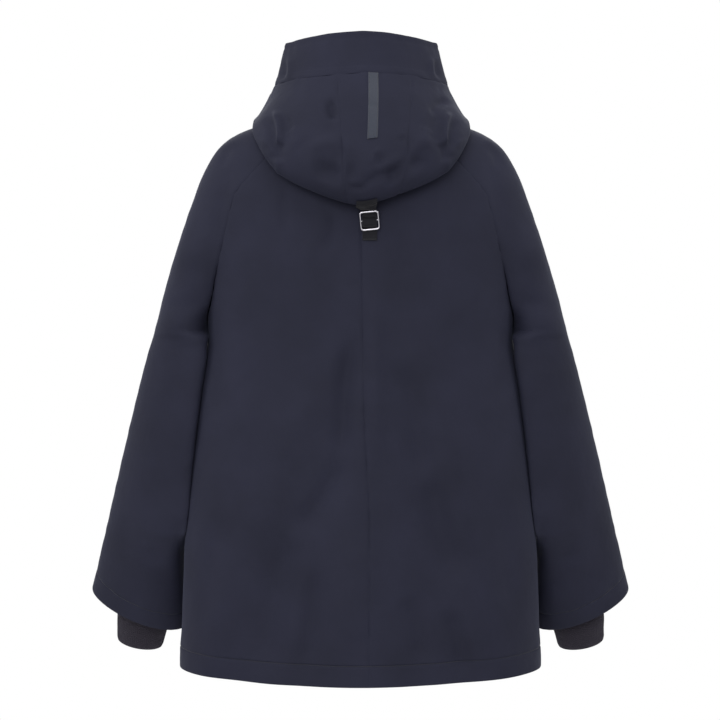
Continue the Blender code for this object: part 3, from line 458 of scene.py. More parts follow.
def sleeve(face, across, row, side):
    """Points of half a sleeve, from its inner seam, where across is 0, to the over-arm seam."""
    across, row = np.broadcast_arrays(np.asarray(across, float), np.asarray(row, float))
    upper_point, upper_heading = armhole(face, np.minimum(row, UNDERARM_ROW), side)
    lower_point, lower_heading = underarm(face, np.maximum(row, UNDERARM_ROW), side)
    above = (row < UNDERARM_ROW)[..., None]
    start = np.where(above, upper_point, lower_point)
    heading = np.where(above, upper_heading, lower_heading)
    over = np.stack([side * SLEEVE("over_x", row), SLEEVE("over_y", row), SLEEVE("over_z", row)], axis=-1)
    pull = SLEEVE("back_pull" if face is BACK else "front_pull", row)
    first = start + heading * pull[..., None]
    second = over + np.array([0.0, facing_of(face), 0.0]) * SLEEVE("over_pull", row)[..., None]
    part = across[..., None]
    point = (
        start * (1 - part) ** 3
        + 3 * first * part * (1 - part) ** 2
        + 3 * second * part**2 * (1 - part)
        + over * part**3
    )
    straight = start[..., 1] + (over[..., 1] - start[..., 1]) * across
    fall = np.tan(np.radians(UNDERARM("fall", np.maximum(row, UNDERARM_ROW))))
    point[..., 2] -= fall * (point[..., 1] - straight)
    return point


def neckline(angle):
    """The neck seam at an angle from the centre back: x, y and height."""
    turn = np.radians(angle)
    y = np.where(np.cos(turn) > 0, NECK_BACK, NECK_FRONT) * np.cos(turn)
    height = spline(NECK_ANGLES, NECK_HEIGHTS, np.abs(angle))
    return NECK_HALF_WIDTH * np.sin(turn), y, height


def hood(angle, station):
    """Points of the hood's outer face. station runs through HOOD_POINTS, 0 at the neck's seam."""
    angle, station = np.broadcast_arrays(np.asarray(angle, float), np.asarray(station, float))
    neck_x, neck_y, neck_z = neckline(angle)
    turned = np.clip(np.abs(angle), 0, 180)
    radii = [np.hypot(neck_x, neck_y)]
    heights = [neck_z + 2 * SEAM_GAP]
    for name in HOOD_POINTS[1:]:
        radii.append(spline(HOOD_ANGLES, HOOD_RADII[name], turned, level_ends=True))
        heights.append(spline(HOOD_ANGLES, HOOD_HEIGHTS[name], turned, level_ends=True))
    radius = chain(np.stack(radii), station)
    height = chain(np.stack(heights), station)
    turn = np.arctan2(neck_x, neck_y)
    from_neck = smooth_step(station / POUCH_EASE)
    away = from_neck * smooth_step((RIM_STATION - station) / POUCH_EASE)
    height = height - POUCH_SKEW * np.sin(turn) * np.maximum(np.cos(turn), 0) ** SKEW_FOCUS * away
    x = radius * np.sin(turn) + POUCH_SHIFT * from_neck * (1 + np.cos(turn)) / 2
    return np.stack([x, radius * np.cos(turn), height], axis=-1)


def chain(values, station):
    """A smooth curve through the values along the first axis, read at each station."""
    last = len(values) - 1
    station = np.clip(station, 0, last)
    left = np.minimum(np.floor(station).astype(int), last - 1)

    def pick(place):
        place = np.clip(place, 0, last)
        return np.take_along_axis(values, place[None], axis=0)[0]

    before, start, end, after = pick(left - 1), pick(left), pick(left + 1), pick(left + 2)
    return curved(start, end, (end - before) / 2, (after - start) / 2, station - left)


def normals_of(surface, columns, rows, outward):
    """Unit normals of a surface at a grid of places; outward is 1 or -1, by the way it is laid."""
    step = BESIDE_COLUMN * max(np.ptp(columns), 0.5)
    left = np.maximum(columns - step, columns.min())
    right = np.minimum(columns + step, max(columns.max(), columns.min() + step))
    above, below = np.maximum(rows - BESIDE_LEVEL, 0), rows + BESIDE_LEVEL
    across = surface(right, rows) - surface(left, rows)
    down = surface(columns, below) - surface(columns, above)
    return unit(np.cross(across, down)) * outward


def front_angle():
    """The angle at which the hood ends beside the zip."""
    return 180 - math.degrees(math.asin(ZIP_EDGE / HOOD_RADII["lie"][-1]))


def panel_edge(station, side):
    """The angle of a seam of the hood's centre panel, on the left (1) or the right (-1)."""
    middle = spline(PANEL_STATIONS, PANEL_MIDDLE, station)
    return middle + side * spline(PANEL_STATIONS, PANEL_HALF, station)


def hood_centre(across, station):
    """The centre panel, from its right seam, where across is 0, to its left one."""
    right, left = panel_edge(station, -1), panel_edge(station, 1)
    return hood(right + (left - right) * across, station)


def hood_side(across, station, side):
    """A side panel, from the centre panel's seam, where across is 0, to the front."""
    start = panel_edge(station, side)
    return hood(start + (side * front_angle() - start) * across, station)


def sleeve_lining(around, row, side):
    """A ring just inside the sleeve: back half from the underarm seam out, front half in again."""
    back = around <= 0.5
    across = np.where(back, 2 * around, 2 - 2 * around)
    rows = np.full_like(around, row)
    points = np.where(back[:, None], sleeve(BACK, across, rows, side), sleeve(FRONT, across, rows, side))
    out_back = normals_of(lambda u, v: sleeve(BACK, u, v, side), across, rows, side)
    out_front = normals_of(lambda u, v: sleeve(FRONT, u, v, side), across, rows, -side)
    return points - np.where(back[:, None], out_back, out_front) * (CLOTH + 2 * SEAM_GAP)


def back_surface(z):
    """How far back the centre of the back lies at a height."""
    rows = np.array([(row[1], row[4] + row[5]) for row in BACK_ROWS], float)[::-1]
    return spline(rows[:, 0], rows[:, 1], z)


def beside(centre_line, widths, place):
    """A line of a strap that lies flat across x: its middle for a place of 0, its edges for -1 and 1."""
    line = np.asarray(centre_line, float)
    return line + np.outer(np.broadcast_to(widths, len(line)), (0.5 * place, 0, 0))


def strap_on_hood(stations, place):
    """A line of the strap where it lies on the hood, laid out as in beside."""
    stations = np.asarray(stations, float)
    radius = np.hypot(*np.moveaxis(hood(STRAP_ANGLE, stations)[..., :2], -1, 0))
    angles = STRAP_ANGLE + place * np.degrees(STRAP_WIDTH / 2 / radius)
    return hood(angles, stations) + normals_of(hood, angles, stations, -1) * (STRAP_LIFT + WEB / 2)


# How far apart a surface is read to find its slope: across a panel, down it, and beside the armhole.
BESIDE_COLUMN = 0.002
BESIDE_LEVEL = 0.01
BESIDE_SEAM = 0.985
BESIDE_ROW = 0.02

# The fine shells, in millimetres.
STEP = 5.0  # between a shell's lines
HOOD_STEP = 3.6
CURVE_SAMPLES = 600
FINE_OFFSETS = (-4.5, -2.6, -1.2, 0, 1.2, 2.6, 4.5)  # the closer lines round a seam or a row of stitches
SHELL_THICK = 1.6  # shell cloth with its lining
WALL_EDGE_ANGLE = 50  # edges sharper than this are rounded
# How deep cloth turns into each kind of seam, how unevenly, and how far from the seam it does so.
SEAM_SINKS = {"seam": 0.9, "joined": 1.0, "flat": 0.75, "allowance": 0.9}
SINK_VARIES = 0.6
SINK_SPACING = 9
SEAM_ROLL = 2.0
SEAM_MEET = 0.6  # how far the turned edges press into each other
ALLOWANCE_WIDTH = 11.0  # the seam's allowance, pressed under one side
ALLOWANCE_LIFT = 0.45
ALLOWANCE_EASE = 2  # how far before its edge it begins to thin out
LAYER_FADE = 3  # how far a second layer takes to thin out
PUCKER = 0.4  # the height of the small waves that the thread draws beside a seam
PUCKER_SPACING = 13
PUCKER_REACH = 8.0
HEM_LIFT = 0.15  # the hem's turned-up layer
HEM_EASE = 1.5  # how far before its stitches it begins to thin out
HEM_PUCKER = 0.8
HEM_WAVES = ((11, 8), (31, 22))  # the hem's small and large puckers: their spacing and their reach
HEM_ROUND = 0.5  # how far the folded edge draws in
HEM_ROLL = 1.4
GROOVE = 1.5  # how deep a row of stitches draws the cloth in
GROOVE_WIDTH = 1.0
HEM_DEPTH = 29.0  # from a hem's edge to its stitches
EDGE_STITCH = 6.0  # from a folded edge to its stitches
RIM_HEM = 9.0  # the rim's turned-in layer, whose stitches do not come through

# Where a crease begins and how fast it grows, as parts of its length.
CREASE_START = 0.2
CREASE_FADE = 0.3
FLAT_FADE = 0.5  # over how many stations creases begin, below where a panel lies flat
# The cloth's own unevenness: its height, the spacing of its broad and fine swells, how much lower the
# fine ones are, and where in the field of chance the garment lies.
SWELL = 0.7
SWELL_SPACING = 74
FINE_SWELL = 0.4
FINE_SWELL_SPACING = 31
FIELD_START = (900, 1900)
# Folds die out this near to a panel's sides, and keep a little of their height at the very edge.
SETTLE_REACH = 16
SETTLE_START = 0.04

# Each finish of a panel's edge that is turned up or in, and how deep.
HEM_DEPTHS = {
    "body_hem": HEM_DEPTH,
    "sleeve_hem": HEM_DEPTH,
    "front_edge": EDGE_STITCH,
    "rim_hem": RIM_HEM,
}
# How far from its edge each finish needs closer lines.
FINE_AT = {
    "seam": (0,),
    "joined": (0,),
    "flat": (0,),
    "allowance": (0, ALLOWANCE_WIDTH),
    "body_hem": (0, HEM_DEPTH),
    "sleeve_hem": (0, HEM_DEPTH),
    "front_edge": (0, EDGE_STITCH),
    "rim_hem": (0,),
}

# The hood's tape: its lines down and across, how far short of the seam it stops, its slanting kink,
# and how its edges, measured in half widths, draw in.
TAPE_GRID = (44, 11)
TAPE_STOP = 0.03
TAPE_KINK_HEIGHT = 15
TAPE_KINK_WIDTH = 5
TAPE_KINK_SLANT = 2
TAPE_KINK = -0.8
TAPE_EDGE = 0.12
TAPE_EDGE_DROP = 0.25

# The cuffs: their ribs, how these fade towards the folded edge, how that edge draws in, and the
# cuff's own slow waves.
CUFF_RIBS = 76
RIB_STEPS = 8  # points across a rib
CUFF_LEVELS = 28
RIB_HEIGHT = 0.4
RIB_ROUND = 0.8
RIB_FADE = 5
RIB_AT_EDGE = 0.3
CUFF_ROUND = 0.9
CUFF_ROLL = 2.5
CUFF_WAVE = 0.7
CUFF_WAVE_SPACING = 17

# The strap's webbing.
STRAP_COLUMNS = 9
STRAP_STEPS = 8  # rows between two places on its way
STRAP_EDGE_DROP = 0.2

# Metal and thread.
RING_SIDE_NARROW = 0.42  # how much slimmer the ring's sides are than its top and bottom
RING_BENDS = 24  # places round each of the ring's corners
WIRE_SIDES = 16
SHARP_ANGLE = 40  # degrees; metal is smooth where it turns less
TOOTH_PITCH = 2.5
TOOTH_REACH = 2.9
TOOTH_LENGTH = 1.3  # along the chain
TOOTH_OVERLAP = 0.7  # past the chain's middle
TOOTH_ROUND = 0.28
THREAD = 0.42  # half a thread's width
STITCH_LENGTH = 2.3
STITCH_PITCH = 3.0
STITCH_RISE = -0.05  # sunk into its groove

# The studio, in metres.
CAMERA_PLACE = (0.0007, 3.0, -0.335)
LENS = 103.4  # millimetres, on a 36 mm sensor
FLOOR_RADIUS = 2.0
FLOOR_HEIGHT = -1.45  # a standing wearer's feet
WORLD_LIGHT = 0.24
# Each softbox: its name, place, what it faces, width, height and watts.
SOFTBOXES = [
    ("top_softbox", (0, 1.0, 1.9), (0, 0, -0.3), 2.0, 1.6, 18),
    ("left_softbox", (2.2, 0.3, 0.9), (0, 0, -0.2), 0.8, 1.4, 18),
    ("right_softbox", (-2.2, 0.3, 0.9), (0, 0, -0.2), 0.8, 1.4, 15),
    ("back_fill", (0.5, 3.5, 0.5), (0, 0, -0.4), 2.2, 2.0, 66),
    ("front_fill", (0, -3.2, 0.6), (0, 0, -0.3), 2.4, 2.2, 56),
]

# The finishes: each colour pair is the darkest and the lightest that the finish shows.
WAVE_LENGTH = math.tau / 20  # of the banded pattern at a scale of 1
DRY_GLOSS = 0.1  # how much the cloths shine, where 0.5 is a plain plastic
SHELL_COLOURS = ("22232f", "2a2b3a")
LINING_COLOURS = ("1d1e27", "262731")
RIB_COLOURS = ("25222a", "312e36")
TAPE_COLOURS = ("363a45", "444854")
WEB_COLOURS = ("0f0f13", "1b1b21")
ZIP_TAPE_COLOURS = ("23232a", "2c2c33")
NICKEL_COLOURS = ("a9a7ad", "c2c0c7")
GUNMETAL_COLOURS = ("4a4a4f", "5c5c61")
THREAD_COLOURS = ("0e0f15", "16171e")
FLOOR_COLOURS = ("f0f0f0", "f4f4f4")

# Creases, a row each: the x and z of one end and of the other, the bow of the line between them to
# the side, the half width and the height, which is below zero for a trough.
BACK_CREASES = [
    (104, -95, 102, -160, 3, 9, -2.6),
    (38, -128, 46, -180, -3, 9, -2.8),
    (70, -168, 72, -200, 2, 9, 1.8),
    (-56, -150, -66, -215, 5, 10, -2.4),
    (-96, -120, -104, -190, -2, 8, -2.0),
    (11, -300, 26, -480, 4, 13, -8.5),
    (24, -465, 92, -575, -8, 18, -9.0),
    (88, -570, 128, -765, 8, 20, -8.0),
    (62, -620, 80, -765, -4, 13, -6.0),
    (-58, -340, -84, -500, -6, 20, -8.0),
    (-92, -490, -140, -640, 6, 22, -8.5),
    (-62, -660, -84, -750, -3, 12, -7.0),
    (-118, -680, -142, -765, -4, 13, -6.0),
    (-24, -230, -24, -480, 3, 11, 5.5),
    (4, -580, 2, -720, 4, 26, 4.0),
    (-140, -420, -150, -600, 10, 20, 3.0),
    (60, -380, 110, -480, 8, 22, 3.0),
    (168, -380, 150, -600, -14, 24, 3.0),
    (205, -300, 190, -420, 8, 12, -2.5),
    (-205, -290, -192, -400, -8, 12, -2.3),
    (196, -560, 214, -700, 6, 14, -2.4),
    (-190, -520, -208, -690, -6, 15, -2.6),
]
FRONT_CREASES = [
    (60, -170, 74, -300, 8, 14, -2.0),
    (-72, -180, -60, -330, -8, 13, -1.8),
    (120, -240, 96, -420, 12, 17, -2.4),
    (-128, -250, -110, -400, -10, 16, -2.2),
    (150, -430, 130, -700, 16, 22, -2.8),
    (-144, -470, -160, -740, -12, 20, -2.6),
    (64, -500, 84, -770, -9, 18, 2.0),
    (-58, -520, -80, -765, 9, 17, 1.8),
    (205, -300, 188, -430, 8, 12, -2.0),
    (-205, -300, -190, -420, -8, 12, -1.9),
]
SLEEVE_CREASES = [
    (183, -28, 196, -62, 3, 7, -3.0),
    (196, -34, 178, -20, 2, 8, 2.2),
    (178, -48, 190, -170, 7, 9, -2.2),
    (214, -60, 238, -210, -8, 16, 1.2),
    (226, -230, 262, -420, 10, 14, -1.4),
    (300, -360, 336, -560, -10, 20, 1.4),
    (262, -560, 246, -690, -9, 16, -6.0),
    (300, -600, 270, -672, 6, 12, -2.4),
    (322, -560, 352, -640, 6, 18, -1.4),
]
HOOD_CREASES = [
    (41, 28, 33, -4, 2, 8, -8.5),
    (30, 20, 40, -30, -3, 12, -2.0),
    (-128, 36, -98, 6, 5, 7, -5.5),
    (-118, 24, -80, -8, 5, 9, 2.4),
    (121, 16, 115, -40, -5, 5, 6.5),
    (132, 6, 124, -44, -5, 7, -5.5),
    (108, 8, 104, -36, -5, 7, -3.5),
    (-125, 14, -119, -42, 5, 5, 6.5),
    (-136, 4, -128, -44, 5, 7, -5.5),
    (-111, 8, -107, -36, 5, 7, -3.5),
    (112, -32, 115, -60, 2, 8, -6.5),
    (-112, -34, -120, -60, -2, 8, -6.5),
    (70, -42, 6, -44, -4, 9, 4.5),
    (66, -70, 4, -78, 5, 13, -8.5),
    (30, -50, 24, -66, 2, 4, -4.0),
    (24, -70, 18, -82, 2, 4, 3.0),
    (24, -96, -10, -98, 3, 4, -4.6),
    (-4, -98, -52, -76, -4, 6, -4.8),
    (-30, -46, -16, -66, 3, 4.5, 3.4),
    (-20, -52, -30, -66, 2, 4.5, -3.4),
    (-54, -24, -66, -27, 1, 4, 3.0),
    (-52, -31, -66, -34, 1, 4, -2.6),
    (-92, -60, -34, -96, 6, 10, -7.5),
    (-100, -34, -60, -52, 4, 10, 4.0),
    (-58, -58, -24, -84, 4, 7, 3.4),
    (84, -40, 104, -18, 5, 12, 3.4),
    (-84, -44, -98, -16, -5, 12, 3.4),
    (142, -24, 114, -80, -9, 4, 2.6),
    (-148, -24, -120, -76, 9, 4, 2.6),
    (103, 98, 104, 62, -3, 4.5, 3.0),
    (110, 96, 114, 62, -3, 5, -3.0),
    (-103, 98, -105, 62, 3, 4.5, 3.0),
    (-110, 96, -115, 62, 3, 5, -3.0),
]


def smooth_noise(at, spacing, seed):
    """Smooth values from -1 to 1 along a line, with a random knot at each spacing."""
    knots = np.random.default_rng(seed).uniform(-1, 1, 256)
    place = np.asarray(at, float) / spacing
    left = np.floor(place).astype(int)
    part = smooth_step(place - left)
    return knots[left % 256] * (1 - part) + knots[(left + 1) % 256] * part


def smooth_field(across, down, spacing, seed):
    """Smooth values from -1 to 1 over a panel, with a random knot at each crossing."""
    knots = np.random.default_rng(seed).uniform(-1, 1, (128, 128))
    column, row = np.asarray(across, float) / spacing, np.asarray(down, float) / spacing
    left, top = np.floor(column).astype(int), np.floor(row).astype(int)
    part, fall = smooth_step(column - left), smooth_step(row - top)
    upper = knots[top % 128, left % 128] * (1 - part) + knots[top % 128, (left + 1) % 128] * part
    lower = knots[(top + 1) % 128, left % 128] * (1 - part) + knots[(top + 1) % 128, (left + 1) % 128] * part
    return upper * (1 - fall) + lower * fall


def crease_height(x, z, creases):
    """How far the listed creases move the cloth out at each x and z."""
    moved = np.zeros_like(x)
    for x_1, z_1, x_2, z_2, bow, width, height in creases:
        run = np.array([x_2 - x_1, z_2 - z_1], float)
        length = np.hypot(*run)
        run /= length
        along = ((x - x_1) * run[0] + (z - z_1) * run[1]) / length
        aside = (z - z_1) * run[0] - (x - x_1) * run[1]
        aside = aside - 4 * along * (1 - along) * bow
        grown = smooth_step(along / CREASE_FADE + CREASE_START)
        ends = grown * smooth_step((1 - along) / CREASE_FADE + CREASE_START)
        moved = moved + height * swelling(aside, width) * ends
    return moved


def lengths(points, axis):
    """Distances along a grid's lines from their first points."""
    steps = np.linalg.norm(np.diff(points, axis=axis), axis=-1)
    zero = np.zeros_like(np.take(steps, [0], axis=axis))
    return np.cumsum(np.concatenate([zero, steps], axis=axis), axis=axis)


def spread(total, step, from_start=(), from_end=()):
    """Distances from 0 to total about a step apart, and closer round these places from each end."""
    fine = [*from_start, *(total - place for place in from_end)]
    near = (place + offset for place in fine for offset in FINE_OFFSETS)
    close = sorted({0.0, total, *(place for place in near if 0 < place < total)})
    places = [close[0]]
    for before, after in zip(close, close[1:]):
        count = max(round((after - before) / step), 1)
        places.extend(np.linspace(before, after, count + 1)[1:])
    return np.array(places)


def places_along(curve, first, last, step, from_start=(), from_end=()):
    """Parameters from first to last whose points on the curve are about a step apart."""
    dense = np.linspace(first, last, CURVE_SAMPLES)
    distance = lengths(curve(dense), 0)
    return np.interp(spread(distance[-1], step, from_start, from_end), distance, dense)


def grid_normals(points, outward):
    """Unit normals of a grid of points; outward is 1 or -1, by the way it is laid."""
    across = np.gradient(points, axis=1)
    down = np.gradient(points, axis=0)
    return unit(np.cross(across, down)) * outward


def turned_seam(distance, along, seed, style):
    """The height beside a seam: it turns down into it, puckers, and may lie over its allowance."""
    pucker = distance / PUCKER_REACH * np.exp(1 - distance / PUCKER_REACH)
    height = PUCKER * smooth_noise(along, PUCKER_SPACING, seed) * pucker
    sink = SEAM_SINKS[style] * (1 + SINK_VARIES * smooth_noise(along, SINK_SPACING, seed + 5))
    height = height - sink * swelling(distance, SEAM_ROLL)
    if style == "allowance":
        past_edge = (distance - ALLOWANCE_WIDTH + ALLOWANCE_EASE) / LAYER_FADE
        height = height + ALLOWANCE_LIFT * (1 - smooth_step(past_edge))
    return height


def turned_hem(distance, along, seed, depth):
    """The height of a turned-up hem: a second layer up to its row of stitches, which pulls it in."""
    near = distance - depth
    height = HEM_LIFT * (1 - smooth_step((near + HEM_EASE) / LAYER_FADE))
    height = height - GROOVE * swelling(near, GROOVE_WIDTH)
    for place, (spacing, reach) in enumerate(HEM_WAVES):
        height = height + HEM_PUCKER * smooth_noise(along, spacing, seed + place) * swelling(near, reach)
    return height - HEM_ROUND * swelling(distance, HEM_ROLL)


class Shell:
    """A panel's fine outer face: a grid of points with its creases, seams and hems.

    edges names the finish of each side. creases is a table of creases, which lie flat above the level
    flat_to. levels, if given, are another panel's, so that the two meet point by point at their seam.
    """

    def __init__(self, surface, rows, outward, edges, creases, seed, step=STEP, levels=None, flat_to=None):
        self.surface, self.outward, self.edges, self.seed = surface, outward, edges, seed
        middle = sum(rows) / 2
        columns = self.lines(lambda at: surface(at, np.full_like(at, middle)), (0, 1), step, "left", "right")
        if levels is None:
            levels = self.lines(lambda at: surface(np.full_like(at, 0.5), at), rows, step, "top", "bottom")
        self.levels = levels
        points = surface(*np.meshgrid(columns, levels))
        self.across, self.down = lengths(points, 1), lengths(points, 0)
        self.from_edge = {
            "left": self.across,
            "right": self.across[:, -1:] - self.across,
            "top": self.down,
            "bottom": self.down[-1:] - self.down,
        }
        height = self.finished(self.folded(points, creases, flat_to))
        self.points = points + grid_normals(points, outward) * height[..., None]
        self.normals = grid_normals(self.points, outward)
        for side, style in edges.items():
            if style in SEAM_SINKS:
                self.press_on(side)

    def lines(self, curve, ends, step, first_side, last_side):
        """Where the grid's lines cross a curve, closer beside the two sides' finishes."""
        fine = [FINE_AT.get(self.edges.get(side), ()) for side in (first_side, last_side)]
        return places_along(curve, *ends, step, *fine)

    def folded(self, points, creases, flat_to):
        """How far the creases and the cloth's own unevenness move each point out."""
        x, z = points[..., 0], points[..., 2]
        folds = crease_height(x, z, creases)
        if flat_to is not None:
            folds = folds * smooth_step((self.levels - flat_to) / FLAT_FADE)[:, None]
        x, z = x + FIELD_START[0], z + FIELD_START[1]
        broad = SWELL * smooth_field(x, z, SWELL_SPACING, self.seed)
        fine = FINE_SWELL * SWELL * smooth_field(x, z, FINE_SWELL_SPACING, self.seed + 1)
        return folds + (broad + fine)

    def finished(self, height):
        """The height with each side's seam or hem, where the cloth's own folds die out."""
        settled = {
            side: smooth_step(self.from_edge[side] / SETTLE_REACH + SETTLE_START) for side in self.edges
        }
        for side, style in self.edges.items():
            if style != "joined":
                height = height * settled[side]
        for place, (side, style) in enumerate(self.edges.items()):
            upright = side in ("left", "right")
            along = self.down if upright else self.across
            first_corner, last_corner = ("top", "bottom") if upright else ("left", "right")
            beside_edge = self.from_edge[side], along, self.seed + 10 + place
            if style in SEAM_SINKS:
                turned = turned_seam(*beside_edge, style)
                height = height + turned * settled[first_corner] * settled[last_corner]
            else:
                height = height + turned_hem(*beside_edge, HEM_DEPTHS[style])
        return height

    def press_on(self, side):
        """Carries a sewn edge on a little, so that it meets its neighbour's turned edge."""
        grid = self.points if side in ("top", "bottom") else self.points.transpose(1, 0, 2)
        edge, beside = (0, 1) if side in ("top", "left") else (-1, -2)
        grid[edge] += unit(grid[edge] - grid[beside]) * SEAM_MEET

    def line(self, side, distance):
        """The points at a distance from one side, and their normals: a row of stitches."""
        found = self.from_edge[side]
        if side in ("left", "right"):
            grids = found, self.points, self.normals
        else:
            grids = found.T, self.points.transpose(1, 0, 2), self.normals.transpose(1, 0, 2)
        places, outs = [], []
        for reach, points, normals in zip(*grids):
            order = np.argsort(reach)
            places.append([np.interp(distance, reach[order], points[order, axis]) for axis in range(3)])
            outs.append([np.interp(distance, reach[order], normals[order, axis]) for axis in range(3)])
        return np.array(places), unit(np.array(outs))


def place_object(name, data):
    """Puts a mesh, a light or a camera into the scene as an object."""
    placed = bpy.data.objects.new(name, data)
    bpy.context.scene.collection.objects.link(placed)
    return placed


def mesh_from(builder, name):
    """Turns a bmesh into a mesh, and lets the bmesh go."""
    mesh = bpy.data.meshes.new(name)
    builder.to_mesh(mesh)
    builder.free()
    return mesh


def make_piece(name, node, mesh, body="garment"):
    """Puts a finished mesh into the scene in place of its solid, riding on the solid's body."""
    piece = place_object(name, mesh)
    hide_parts(node)
    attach(piece, body)
    return piece


def grid_mesh(name, points, outward, materials, laid=None, ring=False):
    """A mesh of quads over a grid of points, with its map in metres across and down the cloth.

    laid is the map's own distances, where they are not those between the points.
    """
    rows, columns = points.shape[:2]
    steps = columns if ring else columns - 1
    faces, corners = [], []
    for top in range(rows - 1):
        for left in range(steps):
            right = (left + 1) % columns
            low = top + 1
            face = [(top, left, left), (top, right, left + 1), (low, right, left + 1), (low, left, left)]
            if outward < 0:
                face.reverse()
            faces.append([row * columns + column for row, column, _ in face])
            corners.extend((row, place) for row, _, place in face)
    mesh = bpy.data.meshes.new(name)
    mesh.from_pydata((points.reshape(-1, 3) * MM).tolist(), [], faces)
    across, down = laid or (lengths(points, 1), lengths(points, 0))
    if ring:
        turn = 2 * across[:, -1:] - across[:, -2:-1]
        across = np.concatenate([across, turn], axis=1)
        down = np.concatenate([down, down[:, :1]], axis=1)
    row_at, column_at = np.array(corners).T
    places = np.stack([across[row_at, column_at], down[row_at, column_at]], axis=-1) * MM
    mesh.uv_layers.new(name="cloth").data.foreach_set("uv", places.ravel())
    for material in materials:
        mesh.materials.append(material)
    mesh.shade_smooth()
    return mesh


def give_thickness(piece, thick, lining=False, round_edge=0.5):
    """Gives a sheet its wall, inwards from its outer face, with a rounded edge."""
    wall = piece.modifiers.new("wall", "SOLIDIFY")
    wall.thickness = thick * MM
    wall.offset = -1
    wall.use_quality_normals = True
    wall.material_offset = 1 if lining else 0
    rounded = piece.modifiers.new("rounded_edge", "BEVEL")
    rounded.width = round_edge * MM
    rounded.segments = 2
    rounded.limit_method = "ANGLE"
    rounded.angle_limit = math.radians(WALL_EDGE_ANGLE)


def cut_of(points):
    """A grid's greatest width and length, and its area, in metres."""
    width = lengths(points, 1)[:, -1].max() * MM
    length = lengths(points, 0)[-1].max() * MM
    sides = points[1:, :-1] - points[:-1, :-1], points[:-1, 1:] - points[:-1, :-1]
    area = np.linalg.norm(np.cross(*sides), axis=-1).sum() * MM * MM
    return width, length, area


def sew_shell(node, shell, cloths):
    """A panel of shell cloth with its lining inside."""
    laid = shell.across, shell.down
    mesh = grid_mesh(f"{node}_shell", shell.points, shell.outward, cloths, laid)
    piece = make_piece(f"{node}_shell", node, mesh)
    give_thickness(piece, SHELL_THICK, lining=True)
    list(cut_of(shell.points))


def sew_strip(name, node, points, outward, material, thick, round_edge, ring=False):
    """A cloth piece of one material over a grid of points, which is closed round if it is a ring."""
    mesh = grid_mesh(name, points, outward, [material], ring=ring)
    piece = make_piece(name, node, mesh)
    give_thickness(piece, thick, round_edge=round_edge)
    whole = np.concatenate([points, points[:, :1]], axis=1) if ring else points
    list(cut_of(whole))


def sew_trunk(cloths, seams):
    """The two back panels and the two fronts, and their rows of stitches."""
    levels = None
    for label, side in SIDES:
        back = Shell(
            lambda u, v: trunk(BACK, u, v, side), (0, HEM_ROW), side,
            {"left": "joined", "right": "flat", "top": "seam", "bottom": "body_hem"},
            BACK_CREASES, seed=11, levels=levels,
        )
        levels = back.levels
        sew_shell(f"back_{label}", back, cloths)
        seams.append(back.line("bottom", HEM_DEPTH))
        front = Shell(
            lambda u, v: trunk(FRONT, u, v, side), (0, HEM_ROW), -side,
            {"left": "front_edge", "right": "flat", "top": "seam", "bottom": "body_hem"},
            FRONT_CREASES, seed=23,
        )
        sew_shell(f"front_{label}", front, cloths)
        seams.append(front.line("bottom", HEM_DEPTH))
        seams.append(front.line("left", EDGE_STITCH))


def sew_sleeves(cloths, seams):
    """Each sleeve's back and front half, with the same creases on both sleeves."""
    for label, side in SIDES:
        creases = [
            (side * x_1, z_1, side * x_2, z_2, side * bow, width, height)
            for x_1, z_1, x_2, z_2, bow, width, height in SLEEVE_CREASES
        ]
        for face_name, face, facing in (("back", BACK, 1), ("front", FRONT, -1)):
            half = Shell(
                lambda u, v: sleeve(face, u, v, side), (0, CUFF_ROW), side * facing,
                {"left": "flat", "right": "seam", "top": "seam", "bottom": "sleeve_hem"},
                creases, seed=37 + facing,
            )
            sew_shell(f"sleeve_{face_name}_{label}", half, cloths)
            seams.append(half.line("bottom", HEM_DEPTH))


def sew_hood(cloths, seams):
    """The hood's centre panel, its two sides and the band round its opening."""
    centre = Shell(
        hood_centre, (0, SEAM_STATION), -1,
        {"left": "flat", "right": "flat", "top": "seam", "bottom": "seam"},
        HOOD_CREASES, seed=51, step=HOOD_STEP, flat_to=POUCH_LINING,
    )
    sew_shell("hood_centre", centre, cloths)
    for label, side in SIDES:
        half = Shell(
            lambda u, v: hood_side(u, v, side), (0, SEAM_STATION), -side,
            {"left": "flat", "right": "front_edge", "top": "seam", "bottom": "seam"},
            HOOD_CREASES, seed=51, step=HOOD_STEP, levels=centre.levels, flat_to=POUCH_LINING,
        )
        sew_shell(f"hood_side_{label}", half, cloths)
        seams.append(half.line("right", EDGE_STITCH))
    limit = front_angle()
    band = Shell(
        lambda u, v: hood(-limit + 2 * limit * u, v), (SEAM_STATION, RIM_STATION), -1,
        {"left": "front_edge", "right": "front_edge", "top": "allowance", "bottom": "rim_hem"},
        HOOD_CREASES, seed=57, step=HOOD_STEP,
    )
    sew_shell("hood_brim", band, cloths)


